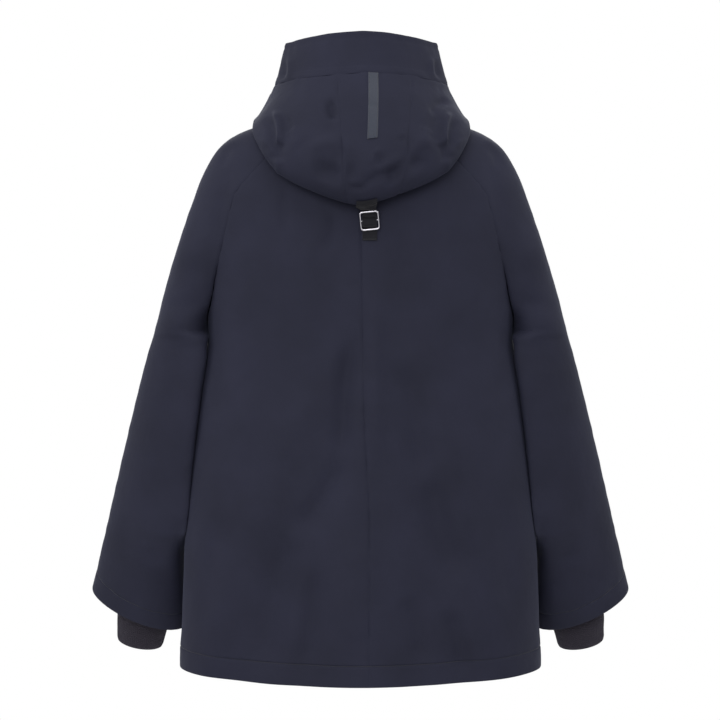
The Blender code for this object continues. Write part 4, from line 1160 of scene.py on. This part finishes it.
def sew_tape(material, seams):
    """The flat tape down the middle of the hood, caught in the brim's seam, with a slight kink."""
    rows, columns = TAPE_GRID
    stations = np.linspace(TAPE_END, SEAM_STATION - TAPE_STOP, rows)
    across, stations = np.meshgrid(np.linspace(-1, 1, columns), stations)

    def face(place, station):
        middle = spline((TAPE_END, SEAM_STATION), TAPE_ANGLES, station)
        radius = np.hypot(*np.moveaxis(hood(middle, station)[..., :2], -1, 0))
        return hood(middle + place * np.degrees(np.arcsin(TAPE_WIDTH / 2 / radius)), station)

    under = face(across, stations)
    out = normals_of(face, across, stations, -1)
    height = TAPE_LIFT + TAPE + crease_height(under[..., 0], under[..., 2], HOOD_CREASES)
    from_kink = under[..., 2] - TAPE_KINK_HEIGHT - TAPE_KINK_SLANT * across
    height = height + TAPE_KINK * swelling(from_kink, TAPE_KINK_WIDTH)
    height = height - TAPE_EDGE_DROP * swelling(1 - np.abs(across), TAPE_EDGE)
    points = under + out * height[..., None]
    sew_strip("hood_tape_band", "hood_tape", points, -1, material, TAPE, 0.25)
    normals = grid_normals(points, -1)
    for column in (1, -2):
        seams.append((points[:, column], normals[:, column]))
    seams.append((points[2, 1:-1], normals[2, 1:-1]))


def drawn_through(rings, count):
    """A grid with this many rows, whose lines run smoothly through the rings."""
    flat = rings.reshape(len(rings), 1, -1)
    levels = np.linspace(0, len(rings) - 1, count)[:, None]
    return chain(flat, np.repeat(levels, flat.shape[2], axis=1)).reshape(count, *rings.shape[1:])


def cuff_rings(around, side):
    """The cuff's rings at some places round it: where it is sewn into the sleeve, then down its length."""
    rings = [sleeve_lining(around, row, side) for row in CUFF_SEAM_ROWS]
    lean, fall = math.radians(CUFF_LEAN), math.radians(CUFF_FALL)
    outward = np.array([side * math.cos(lean), 0, math.sin(lean)])
    backward = np.array([0, math.cos(fall), -math.sin(fall)])
    turn = math.pi - 2 * math.pi * around
    for x, y, z, wide, deep in CUFF_ROWS:
        centre = np.array([side * x, y, z])
        reach = np.outer(np.cos(turn) * wide, outward) + np.outer(np.sin(turn) * deep, backward)
        rings.append(centre + reach)
    return np.stack(rings)


def knit_cuffs(material):
    """Ribbed cuffs: round ribs run down each tube, and its folded lower edge draws in a little."""
    around = np.arange(CUFF_RIBS * RIB_STEPS) / (CUFF_RIBS * RIB_STEPS)
    rib = RIB_HEIGHT * (np.abs(np.sin(np.pi * CUFF_RIBS * around)) ** RIB_ROUND - 1)
    for label, side in SIDES:
        points = drawn_through(cuff_rings(around, side), CUFF_LEVELS)
        closed = np.concatenate([points[:, -1:], points, points[:, :1]], axis=1)
        out = grid_normals(closed, side)[:, 1:-1]
        edge = lengths(points, 0)
        edge = edge[-1:] - edge
        height = rib[None] * smooth_step(edge / RIB_FADE + RIB_AT_EDGE)
        height = height - CUFF_ROUND * swelling(edge, CUFF_ROLL)
        height = height + CUFF_WAVE * smooth_noise(edge, CUFF_WAVE_SPACING, 5 + side)
        points = points + out * height[..., None]
        sew_strip(
            f"cuff_{label}_rib", f"cuff_{label}", points, side, material, RIB, 0.9, ring=True
        )


def strap_lines(hanging, widths, on_hood, place):
    """One line along a strap: where it hangs, after its run down the hood if it has one."""
    line = beside(hanging, widths, place)
    return np.concatenate([strap_on_hood(STRAP_STATIONS, place), line]) if on_hood else line


def weave_strap(name, node, hanging, widths, on_hood, material):
    """A webbing strap along its line, a little thinner at its edges; it returns its outer face."""
    places = np.linspace(-1, 1, STRAP_COLUMNS)
    lines = np.stack([strap_lines(hanging, widths, on_hood, place) for place in places], axis=1)
    points = drawn_through(lines, STRAP_STEPS * len(lines))
    rise = WEB / 2 - STRAP_EDGE_DROP * np.abs(places)[None, :, None] ** 6
    points = points + grid_normals(points, 1) * rise
    sew_strip(name, node, points, 1, material, WEB, 0.4)
    return points


def ring_reach():
    """From the slide ring's middle to the middle of its top wire: how far up and how far out."""
    reach = (RING_SIZE - RING_WIRE) / 2
    lean = math.radians(RING_LEAN)
    return reach * math.cos(lean), reach * math.sin(lean)


def strap_path(ring_y, over_bar):
    """The strap's way from the hood over the ring's top wire, behind it, and over the bar."""
    up, out = ring_reach()
    top_y, top_z = ring_y + out, RING_HEIGHT + up
    return [
        (RING_X + 3.0, top_y + 6.6, top_z + 3.4),
        (RING_X + 2.0, top_y + 2.1, top_z + 3.4),
        (RING_X + 1.2, top_y - 1.5, top_z + 3.0),
        (RING_X + 0.5, top_y - BEHIND_WIRE, top_z + 1.2),
        (RING_X + 0.2, top_y - BEHIND_WIRE - 0.2, top_z - 0.9),
        (RING_X, top_y - BEHIND_WIRE + 0.6, top_z - 3.0),
        (RING_X, over_bar + 0.4, RING_HEIGHT + 7.2),
        (RING_X, over_bar + 1.4, RING_HEIGHT + 4.4),
    ]


def tab_path(ring_y, over_bar):
    """The tab's way down from the ring's bar, behind the bottom wire, to where it is sewn down."""
    up, out = ring_reach()
    low_y, low_z = ring_y - out, RING_HEIGHT - up
    lift = TAB_LIFT + WEB / 2
    return [
        (RING_X, over_bar - 2.2, RING_HEIGHT + 4.6),
        (RING_X, over_bar - 0.5, RING_HEIGHT + 2.2),
        (RING_X, over_bar + 0.2, RING_HEIGHT - 0.8),
        (RING_X, over_bar, RING_HEIGHT - 3.6),
        (RING_X, over_bar - 1.2, RING_HEIGHT - 6.4),
        (RING_X - 0.2, low_y - BEHIND_WIRE + 1.8, low_z + 3.6),
        (RING_X - 0.4, low_y - BEHIND_WIRE - 0.1, low_z - 0.5),
        (RING_X - 0.4, back_surface(low_z - 6) + lift, low_z - 6),
        (RING_X - 0.4, back_surface(TAB_END) + lift, TAB_END),
    ]


def sew_strap(material, seams):
    """The strap from the hood and the tab from the back, both drawn over the slide ring's bar."""
    ring_y = back_surface(RING_HEIGHT) + RING_STAND
    over_bar = ring_y - BAR_SET_BACK + BAR_WIRE / 2 + 2 * SEAM_GAP + WEB / 2
    hanging = strap_path(ring_y, over_bar)
    widths = np.maximum(STRAP_WIDTH - STRAP_TAPER * np.arange(1, len(hanging) + 1), STRAP_NARROW)
    weave_strap("strap_upper_web", "strap_upper", hanging, widths, True, material)
    tab = tab_path(ring_y, over_bar)
    face = weave_strap("strap_tab_web", "strap_tab", tab, STRAP_NARROW, False, material)
    seams.append((face[-3, 1:-1], grid_normals(face, 1)[-3, 1:-1]))


def ring_path(half):
    """The wire's way round the ring: x, z and the direction outwards at each place."""
    path = []
    for corner in range(4):
        middle = math.radians(45 + 90 * corner)
        corner_x = math.copysign(half - RING_CORNER, math.cos(middle))
        corner_z = math.copysign(half - RING_CORNER, math.sin(middle))
        for step in range(RING_BENDS):
            turn = math.radians(90 * corner + 90 * step / (RING_BENDS - 1))
            x = corner_x + RING_CORNER * math.cos(turn)
            path.append((x, corner_z + RING_CORNER * math.sin(turn), turn))
    return path


def wire_loop(x, z, turn):
    """The wire's section at one place, which is slimmer along the ring's sides."""
    around = np.linspace(0, 2 * math.pi, WIRE_SIDES, endpoint=False)
    width = RING_WIRE / 2 * (1 - RING_SIDE_NARROW * abs(math.cos(turn)) ** 4)
    away = width * np.cos(around)
    deep = RING_WIRE / 2 * np.sin(around)
    return np.stack([x + away * math.cos(turn), deep, z + away * math.sin(turn)], axis=-1)


def bend_ring(material):
    """The slide ring: a square of drawn wire, flatter at its sides, with a middle bar brazed in."""
    half = (RING_SIZE - RING_WIRE) / 2
    builder = bmesh.new()
    rings = [[builder.verts.new(point) for point in wire_loop(*place)] for place in ring_path(half)]
    for place, ring in enumerate(rings):
        following = rings[(place + 1) % len(rings)]
        for side in range(WIRE_SIDES):
            after = (side + 1) % WIRE_SIDES
            builder.faces.new((ring[side], ring[after], following[after], following[side]))
    laid = Matrix.Translation((0, -BAR_SET_BACK, 0)) @ Matrix.Rotation(math.pi / 2, 4, "Y")
    bmesh.ops.create_cone(
        builder, cap_ends=True, segments=WIRE_SIDES, radius1=BAR_WIRE / 2, radius2=BAR_WIRE / 2,
        depth=2 * half, matrix=laid,
    )
    place = Matrix.Translation(Vector((RING_X, back_surface(RING_HEIGHT) + RING_STAND, RING_HEIGHT)))
    lean = Matrix.Rotation(-math.radians(RING_LEAN), 4, "X")
    twist = Matrix.Rotation(math.radians(RING_TWIST), 4, "Y")
    finish_metal("slide_ring_wire", "slide_ring", builder, place @ (lean @ twist), material)


def finish_metal(name, node, builder, place, material, body="garment"):
    """Turns a bmesh in millimetres into a metal piece that stands for its solid."""
    bmesh.ops.recalc_face_normals(builder, faces=builder.faces)
    bmesh.ops.transform(builder, matrix=Matrix.Diagonal((MM, MM, MM, 1)) @ place, verts=builder.verts)
    mesh = mesh_from(builder, name)
    mesh.materials.append(material)
    mesh.shade_smooth()
    mesh.set_sharp_from_angle(angle=math.radians(SHARP_ANGLE))
    make_piece(name, node, mesh, body)


def front_line(x, last):
    """The outer face beside the zip, from the hem up to a station, at a distance x from the centre."""
    rows = np.linspace(HEM_ROW, 0, 170)
    stations = np.linspace(ZIP_ON_HOOD[0], last, 60)
    edge = np.concatenate([trunk(FRONT, 0.0, rows, 1), hood_side(1.0, stations, 1)])
    beside_edge = np.concatenate(
        [trunk(FRONT, 1 / ACROSS, rows, 1), hood_side(1 - 1 / HOOD_ACROSS, stations, 1)]
    )
    part = (abs(x) - edge[:, 0]) / (beside_edge[:, 0] - edge[:, 0])
    line = edge + (beside_edge - edge) * part[:, None]
    line[:, 0] = x
    return line


def zip_grid(left_x, right_x, depth, columns, last=ZIP_ON_HOOD[1]):
    """A strip of the zip between two distances from the centre, this deep below the outer face."""
    grid = np.stack([front_line(x, last) for x in np.linspace(left_x, right_x, columns)], axis=1)
    along = np.gradient(grid, axis=0)
    out = unit(np.cross(grid[:, -1:] - grid[:, :1], along) * np.array([0.0, 1.0, 1.0]))
    return grid - out * depth


def sew_zip(tape, metal):
    """The front zip: a woven tape under each front's edge, and between them the closed teeth."""
    for label, left_x, right_x in (("left", TAPE_INNER, TAPE_OUTER), ("right", -TAPE_OUTER, -TAPE_INNER)):
        points = zip_grid(left_x, right_x, TAPE_DEPTH, 7)
        node = f"zip_tape_{label}"
        sew_strip(f"{node}_band", node, points, 1, tape, TAPE_THICK, 0.2)
    line = zip_grid(-CHAIN_HALF, CHAIN_HALF, CHAIN_DEPTH + CHAIN_THICK / 2, 3, CHAIN_END)[:, 1]
    tree = repeat_tree("row_of_teeth", alternate=True)
    teeth = repeat_along([line], tree, "zip_teeth", TOOTH_PITCH, metal, make_tooth())
    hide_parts("zip_chain")
    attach(teeth, "garment")


def make_tooth():
    """One tooth, which reaches from its tape to just past the middle of the chain."""
    builder = bmesh.new()
    size = Matrix.Diagonal((TOOTH_REACH, CHAIN_THICK, TOOTH_LENGTH, 1))
    matrix = Matrix.Translation((TOOTH_REACH / 2 - TOOTH_OVERLAP, 0, 0)) @ size
    bmesh.ops.create_cube(builder, size=1, matrix=matrix)
    bmesh.ops.bevel(builder, geom=builder.edges[:], offset=TOOTH_ROUND, segments=1, affect="EDGES")
    bmesh.ops.scale(builder, vec=(MM, MM, MM), verts=builder.verts)
    return place_object("tooth", mesh_from(builder, "tooth"))


def rounded_box(builder, low, high, radius):
    """Adds a box between two corners, with every edge rounded."""
    centre, size = (Vector(low) + Vector(high)) / 2, Vector(high) - Vector(low)
    matrix = Matrix.Translation(centre) @ Matrix.Diagonal((*size, 1))
    made = bmesh.ops.create_cube(builder, size=1, matrix=matrix)
    edges = list({edge for vert in made["verts"] for edge in vert.link_edges})
    bmesh.ops.bevel(builder, geom=edges, offset=radius, segments=2, affect="EDGES")


def cast_slider(metal):
    """The slider: two plates joined by a post, with a round-shouldered bail that the pull hangs in."""
    low, high = (np.array(corner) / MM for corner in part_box("zip_slider"))
    plate_front = low[1] + BAIL_REACH
    plate_rear = plate_front + PLATE_THICK
    second_plate = high[1] - PLATE_THICK
    middle = (low[2] + high[2]) / 2
    bail = BAIL_HALF_WIDTH
    boxes = [
        (PLATE_HALF_WIDTH, plate_front, plate_rear, low[2], high[2], PLATE_ROUND),
        (PLATE_HALF_WIDTH, second_plate, high[1], low[2], high[2], PLATE_ROUND),
        (
            POST_HALF_WIDTH, plate_rear - SUNK, second_plate + SUNK,
            high[2] - PLATE_ABOVE + 0.4, high[2] - 1, POST_ROUND,
        ),
    ]
    for side in (-1, 1):
        foot = middle + side * (BAIL_HALF_HEIGHT - BAIL_WIRE / 2)
        half_wire = BAIL_WIRE / 2
        boxes.append((bail, low[1] + 0.4, plate_front + SUNK, foot - half_wire, foot + half_wire, POST_ROUND))
    bottom, top = middle - BAIL_HALF_HEIGHT, middle + BAIL_HALF_HEIGHT
    boxes.append((bail, low[1], low[1] + BAIL_WIRE, bottom, top, BAIL_ROUND))
    builder = bmesh.new()
    for half_width, front, rear, bottom, top, radius in boxes:
        rounded_box(builder, (-half_width, front, bottom), (half_width, rear, top), radius)
    finish_metal("zip_slider_cast", "zip_slider", builder, Matrix.Identity(4), metal)


def pull_layers(builder, low, high):
    """The pull tab's outline and window at each level through its plate, drawn in at both faces."""
    middle_y, middle_z = (low[1] + high[1]) / 2, (low[2] + high[2]) / 2
    half = (high[1] - low[1]) / 2
    outline = rounded_outline(-PULL_WIDTH / 2, low[2], PULL_WIDTH / 2, high[2], PULL_CORNER)
    window = rounded_outline(
        -PULL_WINDOW / 2, high[2] - half - PULL_WINDOW_LENGTH, PULL_WINDOW / 2, high[2] - 2 * half,
        WINDOW_CORNER,
    )
    layers = []
    for y, inset in ((-half, PULL_BEVEL), (PULL_BEVEL - half, 0), (half - PULL_BEVEL, 0), (half, PULL_BEVEL)):
        narrow, short = 1 - 2 * inset / PULL_WIDTH, 1 - 2 * inset / PULL_LENGTH
        wider = 1 + WINDOW_FLARE * inset
        outer = [
            builder.verts.new((x * narrow, middle_y + y, middle_z + (z - middle_z) * short))
            for x, z in outline
        ]
        inner = [builder.verts.new((x * wider, middle_y + y, z)) for x, z in window]
        layers.append((outer, inner))
    return layers


def band_of_faces(builder, loop, following):
    """A band of faces between two closed loops of points."""
    for place in range(len(loop)):
        after = (place + 1) % len(loop)
        builder.faces.new((loop[place], loop[after], following[after], following[place]))


def cast_pull(metal):
    """The pull tab: a long plate with rounded corners, and a window that hangs on the bail."""
    builder = bmesh.new()
    layers = pull_layers(builder, *(np.array(corner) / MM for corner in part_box("zip_pull")))
    for upper, lower in zip(layers, layers[1:]):
        for loop, following in zip(upper, lower):
            band_of_faces(builder, loop, following)
    for outer, inner in (layers[0], layers[-1]):
        band_of_faces(builder, outer, inner)
    finish_metal("zip_pull_plate", "zip_pull", builder, Matrix.Identity(4), metal, body="pull")


def rounded_outline(left, bottom, right, top, radius):
    """Points round a rectangle with round corners."""
    corners = ((right, top, 0), (left, top, 90), (left, bottom, 180), (right, bottom, 270))
    points = []
    for x, z, start in corners:
        centre_x = x - math.copysign(radius, x - (left + right) / 2)
        centre_z = z - math.copysign(radius, z - (bottom + top) / 2)
        for step in range(CORNER_STEPS):
            turn = math.radians(start + 90 * step / (CORNER_STEPS - 1))
            points.append((centre_x + radius * math.cos(turn), centre_z + radius * math.sin(turn)))
    return points


def new_tree(name, inputs):
    """An empty geometry tree with a shape in, a shape out and these named inputs."""
    tree = bpy.data.node_groups.new(name, "GeometryNodeTree")
    tree.interface.new_socket("Geometry", in_out="INPUT", socket_type="NodeSocketGeometry")
    tree.interface.new_socket("Geometry", in_out="OUTPUT", socket_type="NodeSocketGeometry")
    for socket, kind in inputs.items():
        tree.interface.new_socket(socket, in_out="INPUT", socket_type=kind)
    return tree


def turn_along(tree, alternate):
    """Each repeat's turn: it stands along the line, and every other one faces the other way if asked."""
    tangent = add_node(tree, "GeometryNodeInputTangent")
    aside = (1.0, 0.0, 0.0)
    if alternate:
        index = add_node(tree, "GeometryNodeInputIndex")
        odd = reckon(tree, "MODULO", index.outputs["Index"], 2.0)
        facing = reckon(tree, "MULTIPLY_ADD", odd, -2.0, 1.0)
        aside = add_node(tree, "ShaderNodeCombineXYZ", inputs={"X": facing}).outputs["Vector"]
    turn = add_node(
        tree, "FunctionNodeAxesToRotation", {"primary_axis": "Z", "secondary_axis": "X"},
        {"Primary Axis": tangent.outputs["Tangent"], "Secondary Axis": aside},
    )
    return turn.outputs["Rotation"]


def repeat_tree(name, alternate):
    """Lays one small piece at each pitch along the lines it is given; alternate turns every other one."""
    tree = new_tree(
        name,
        {"Pitch": "NodeSocketFloat", "Piece": "NodeSocketObject", "Material": "NodeSocketMaterial"},
    )
    given = add_node(tree, "NodeGroupInput").outputs
    curve = add_node(tree, "GeometryNodeMeshToCurve", inputs={"Mesh": given["Geometry"]})
    line = add_node(
        tree, "GeometryNodeResampleCurve", {"mode": "LENGTH"},
        {"Curve": curve.outputs["Curve"], "Length": given["Pitch"]},
    )
    piece = add_node(tree, "GeometryNodeObjectInfo", inputs={"Object": given["Piece"]})
    laid = add_node(
        tree, "GeometryNodeInstanceOnPoints",
        inputs={
            "Points": line.outputs["Curve"],
            "Instance": piece.outputs["Geometry"],
            "Rotation": turn_along(tree, alternate),
        },
    )
    real = add_node(tree, "GeometryNodeRealizeInstances", inputs={"Geometry": laid.outputs["Instances"]})
    smooth = add_node(tree, "GeometryNodeSetShadeSmooth", inputs={"Geometry": real.outputs["Geometry"]})
    coated = add_node(
        tree, "GeometryNodeSetMaterial",
        inputs={"Geometry": smooth.outputs["Geometry"], "Material": given["Material"]},
    )
    add_node(tree, "NodeGroupOutput", inputs={"Geometry": coated.outputs["Geometry"]})
    return tree


def repeat_along(lines, tree, name, pitch, material, piece):
    """Runs a tree over lines of points and keeps the result as one plain mesh."""
    points, edges = [], []
    for line in lines:
        start = len(points)
        points.extend((np.asarray(line) * MM).tolist())
        edges.extend((start + place, start + place + 1) for place in range(len(line) - 1))
    mesh = bpy.data.meshes.new(name)
    mesh.from_pydata(points, edges, [])
    guide = place_object(f"{name}_guide", mesh)
    modifier = guide.modifiers.new("repeat", "NODES")
    modifier.node_group = tree
    given = {item.name: item.identifier for item in tree.interface.items_tree if item.in_out == "INPUT"}
    modifier[given["Pitch"]] = pitch * MM
    modifier[given["Piece"]] = piece
    modifier[given["Material"]] = material
    bpy.context.view_layer.update()
    shown = guide.evaluated_get(bpy.context.evaluated_depsgraph_get())
    made = place_object(name, bpy.data.meshes.new_from_object(shown))
    made.data.name = name
    bpy.data.objects.remove(guide)
    bpy.data.objects.remove(piece)
    return made


def make_stitch():
    """One stitch of thread: a round bead, longer than it is thick."""
    builder = bmesh.new()
    bmesh.ops.create_uvsphere(builder, u_segments=6, v_segments=5, radius=1)
    size = (THREAD * MM, THREAD * MM, STITCH_LENGTH * MM / 2)
    bmesh.ops.scale(builder, vec=size, verts=builder.verts)
    return place_object("stitch", mesh_from(builder, "stitch"))


def sew_stitches(seams, material):
    """Every visible row of stitches, lying half sunk in its groove."""
    lines = [points + normals * STITCH_RISE for points, normals in seams]
    tree = repeat_tree("row_of_stitches", alternate=False)
    stitches = repeat_along(lines, tree, "stitches", STITCH_PITCH, material, make_stitch())
    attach(stitches, "garment")


# The finishes.


def linear(hexadecimal):
    """A colour's linear values from its sRGB hex."""
    channels = [int(hexadecimal[place : place + 2], 16) / 255 for place in (0, 2, 4)]
    return (*(c / 12.92 if c <= 0.04045 else ((c + 0.055) / 1.055) ** 2.4 for c in channels), 1.0)


def add_node(tree, kind, settings=None, inputs=None):
    """Adds a node with its own settings, and its inputs as values or as the sockets that feed them."""
    node = tree.nodes.new(kind)
    for name, value in (settings or {}).items():
        setattr(node, name, value)
    for name, value in (inputs or {}).items():
        if isinstance(value, bpy.types.NodeSocket):
            tree.links.new(value, node.inputs[name])
        else:
            node.inputs[name].default_value = value
    return node


def reckon(tree, operation, *values, clamp=False):
    """A value worked out from numbers or other values by one step of arithmetic."""
    settings = {"operation": operation, "use_clamp": clamp}
    return add_node(tree, "ShaderNodeMath", settings, dict(enumerate(values))).outputs[0]


def ranged(tree, value, start, end, source=(0.0, 1.0)):
    """A value carried over from its own range to the one from start to end."""
    limits = {"From Min": source[0], "From Max": source[1], "To Min": start, "To Max": end}
    return add_node(tree, "ShaderNodeMapRange", inputs={"Value": value, **limits}).outputs["Result"]


def cloud(tree, place, scale, detail=2.0):
    """Soft blotches, about this many to a metre."""
    inputs = {"Vector": place, "Scale": scale, "Detail": detail}
    return add_node(tree, "ShaderNodeTexNoise", inputs=inputs).outputs["Fac"]


def courses(tree, place, pitch, unevenness, detail, detail_scale):
    """Even bands across the cloth, at their pitch in metres, a little uneven."""
    inputs = {
        "Vector": place,
        "Scale": WAVE_LENGTH / pitch,
        "Distortion": unevenness,
        "Detail": detail,
        "Detail Scale": detail_scale,
    }
    settings = {"bands_direction": "Y", "wave_profile": "SIN"}
    return add_node(tree, "ShaderNodeTexWave", settings, inputs).outputs["Fac"]


def coloured(tree, shader, factor, dark, light):
    """Colours a finish between its darkest and its lightest."""
    mixed = add_node(
        tree, "ShaderNodeMix", {"data_type": "RGBA"},
        {"Factor": factor, "A": linear(dark), "B": linear(light)},
    )
    tree.links.new(mixed.outputs["Result"], shader.inputs["Base Color"])


def new_finish(name, settings):
    """A material with a Principled shader, its tree, the shader and its own coordinates."""
    material = bpy.data.materials.new(name)
    material.use_nodes = True
    tree = material.node_tree
    shader = tree.nodes["Principled BSDF"]
    for socket, value in settings.items():
        shader.inputs[socket].default_value = value
    return material, tree, shader, add_node(tree, "ShaderNodeTexCoord").outputs


def threads(tree, place, across, along, seed):
    """Uneven threads: noise that is drawn out along the cloth, in metres across and along a thread."""
    inputs = {"Vector": place, "Scale": (1 / across, 1 / along, 1), "Location": (seed, 0, seed)}
    drawn = add_node(tree, "ShaderNodeMapping", inputs=inputs)
    return cloud(tree, drawn.outputs["Vector"], 1.0, 1.0)


def bumped(tree, shader, heights):
    """Chains bumps, each a height and its distance in metres, onto a shader."""
    normal = None
    for height, distance in heights:
        inputs = {"Height": height, "Distance": distance, "Strength": 1.0}
        if normal is not None:
            inputs["Normal"] = normal
        normal = add_node(tree, "ShaderNodeBump", inputs=inputs).outputs["Normal"]
    tree.links.new(normal, shader.inputs["Normal"])


def woven_shell(name, dark, light):
    """Plain-woven polyester with a dry waterproof finish: smooth and matte, paler where it turns away."""
    material, tree, shader, place = new_finish(
        name,
        {
            "Specular IOR Level": DRY_GLOSS,
            "Sheen Weight": 0.05,
            "Sheen Roughness": 0.35,
            "Sheen Tint": linear("aab4d6"),
        },
    )
    # The real weave has 40 threads to a centimetre: these are twice as coarse, to show at all.
    warp = threads(tree, place["UV"], 0.5 * MM, 7 * MM, 3)
    weft = threads(tree, place["UV"], 7 * MM, 0.5 * MM, 11)
    weave = reckon(tree, "MULTIPLY_ADD", warp, 0.5, weft)
    handled = cloud(tree, place["Object"], 13.0, 3.0)
    tone = ranged(tree, handled, 0.0, 1.0, source=(0.15, 0.85))
    fleck = reckon(tree, "MULTIPLY_ADD", weave, 0.5, -0.25)
    coloured(tree, shader, reckon(tree, "ADD", tone, fleck, clamp=True), dark, light)
    rough = ranged(tree, weave, 0.66, 0.8, source=(0.4, 1.1))
    tree.links.new(rough, shader.inputs["Roughness"])
    crumple = cloud(tree, place["Object"], 42.0)
    bumped(tree, shader, [(crumple, 0.9 * MM), (weave, 0.05 * MM)])
    return material


def smooth_lining(name, dark, light):
    """Thin woven taffeta: smoother than the shell, with a soft shine."""
    finish = {"Roughness": 0.42, "Specular IOR Level": DRY_GLOSS}
    material, tree, shader, place = new_finish(name, finish)
    warp = threads(tree, place["UV"], 0.4 * MM, 9 * MM, 5)
    coloured(tree, shader, warp, dark, light)
    bumped(tree, shader, [(warp, 0.04 * MM)])
    return material


def rib_knit(name, dark, light):
    """Wool-mix rib: soft and matte, with uneven bands across its ribs and a little fuzz."""
    material, tree, shader, place = new_finish(
        name,
        {
            "Roughness": 0.88,
            "Specular IOR Level": DRY_GLOSS,
            "Sheen Weight": 0.15,
            "Sheen Roughness": 0.6,
            "Sheen Tint": linear("b9b4c6"),
        },
    )
    bands = courses(tree, place["UV"], 3.75 * MM, 2.5, 1.0, 300.0)
    fuzz = cloud(tree, place["Object"], 900.0, 3.0)
    coloured(tree, shader, reckon(tree, "MULTIPLY_ADD", bands, 0.5, fuzz), dark, light)
    bumped(tree, shader, [(bands, 0.35 * MM), (fuzz, 0.12 * MM)])
    return material


def ribbed_webbing(name, dark, light, pitch, rough):
    """Narrow woven webbing or tape: fine ribs across it, at their pitch in metres."""
    finish = {"Roughness": rough, "Specular IOR Level": DRY_GLOSS, "Sheen Weight": 0.1}
    material, tree, shader, place = new_finish(name, finish)
    ribs = courses(tree, place["UV"], pitch, 0.6, 2.0, 400.0)
    yarn = threads(tree, place["UV"], 0.5 * MM, 3 * MM, 7)
    coloured(tree, shader, reckon(tree, "MULTIPLY_ADD", ribs, 0.4, yarn), dark, light)
    bumped(tree, shader, [(ribs, 0.16 * MM), (yarn, 0.06 * MM)])
    return material


def plated_metal(name, dark, light, rough_from, rough_to, scale):
    """Plated zinc: a plain metal colour, with faint tumbling marks that break up its shine."""
    material, tree, shader, place = new_finish(name, {"Metallic": 1.0})
    marks = cloud(tree, place["Object"], scale, 4.0)
    coloured(tree, shader, marks, dark, light)
    tree.links.new(ranged(tree, marks, rough_from, rough_to), shader.inputs["Roughness"])
    bumped(tree, shader, [(marks, 0.02 * MM)])
    return material


def spun_thread(name, dark, light):
    """Polyester sewing thread, twisted, with a low shine."""
    material, tree, shader, place = new_finish(name, {"Roughness": 0.5, "Sheen Weight": 0.2})
    coloured(tree, shader, cloud(tree, place["Object"], 1400.0), dark, light)
    return material


# The studio.


def painted_floor(name, dark, light):
    """Matte paint, with faint broad patches."""
    material, tree, shader, place = new_finish(name, {"Roughness": 0.9})
    coloured(tree, shader, cloud(tree, place["Object"], 3.0), dark, light)
    return material


def lay_floor():
    """A pale floor as far below the neck as a standing wearer's feet would be."""
    builder = bmesh.new()
    bmesh.ops.create_circle(builder, cap_ends=True, segments=96, radius=FLOOR_RADIUS)
    bmesh.ops.translate(builder, vec=(0, 0, FLOOR_HEIGHT), verts=builder.verts)
    floor = place_object("floor", mesh_from(builder, "floor"))
    floor.data.materials.append(painted_floor("painted_floor", *FLOOR_COLOURS))


def light_world():
    """A white backdrop for the eye and for gloss, and a lower even light from all round."""
    world = bpy.data.worlds.new("studio")
    bpy.context.scene.world = world
    world.use_nodes = True
    tree = world.node_tree
    background = tree.nodes["Background"]
    path = add_node(tree, "ShaderNodeLightPath").outputs
    seen = reckon(tree, "MAXIMUM", path["Is Camera Ray"], path["Is Glossy Ray"])
    seen = reckon(tree, "MAXIMUM", seen, path["Is Transmission Ray"])
    tree.links.new(ranged(tree, seen, WORLD_LIGHT, 1.0), background.inputs["Strength"])
    background.inputs["Color"].default_value = (1, 1, 1, 1)


def hang_lights():
    """The softboxes, each turned to what it lights, and none of them seen."""
    for name, place, aim, width, height, power in SOFTBOXES:
        data = bpy.data.lights.new(name, "AREA")
        data.shape = "RECTANGLE"
        data.size, data.size_y = width, height
        data.energy = power
        lamp = place_object(name, data)
        lamp.location = place
        lamp.rotation_euler = (Vector(aim) - Vector(place)).to_track_quat("-Z", "Y").to_euler()
        lamp.visible_camera = False


def place_camera():
    """Behind the wearer, level with the middle of the back."""
    data = bpy.data.cameras.new("camera")
    data.lens, data.sensor_width = LENS, 36
    data.clip_start, data.clip_end = 0.1, 30
    camera = place_object("camera", data)
    camera.location = CAMERA_PLACE
    camera.rotation_euler = (math.radians(90), 0, math.radians(180))
    bpy.context.scene.camera = camera


def main():
    """Mixes the finishes, makes every piece in turn, and sets up the studio."""
    shell = woven_shell("navy_shell_cloth", *SHELL_COLOURS)
    lining = smooth_lining("navy_taffeta_lining", *LINING_COLOURS)
    rib = rib_knit("navy_rib_knit", *RIB_COLOURS)
    tape = ribbed_webbing("grey_flat_tape", *TAPE_COLOURS, 0.5655 * MM, 0.6)
    web = ribbed_webbing("navy_webbing", *WEB_COLOURS, 1.0681 * MM, 0.55)
    zip_tape = ribbed_webbing("navy_zip_tape", *ZIP_TAPE_COLOURS, 0.6283 * MM, 0.8)
    nickel = plated_metal("satin_nickel", *NICKEL_COLOURS, 0.22, 0.38, 160.0)
    gunmetal = plated_metal("gunmetal_plate", *GUNMETAL_COLOURS, 0.3, 0.5, 220.0)
    thread = spun_thread("navy_thread", *THREAD_COLOURS)
    seams = []
    sew_trunk([shell, lining], seams)
    sew_sleeves([shell, lining], seams)
    sew_hood([shell, lining], seams)
    sew_tape(tape, seams)
    knit_cuffs(rib)
    sew_strap(web, seams)
    bend_ring(nickel)
    sew_zip(zip_tape, gunmetal)
    cast_slider(gunmetal)
    cast_pull(gunmetal)
    sew_stitches(seams, thread)
    lay_floor()
    light_world()
    hang_lights()
    place_camera()
    scene = bpy.context.scene
    scene.view_settings.view_transform = "Standard"


main()
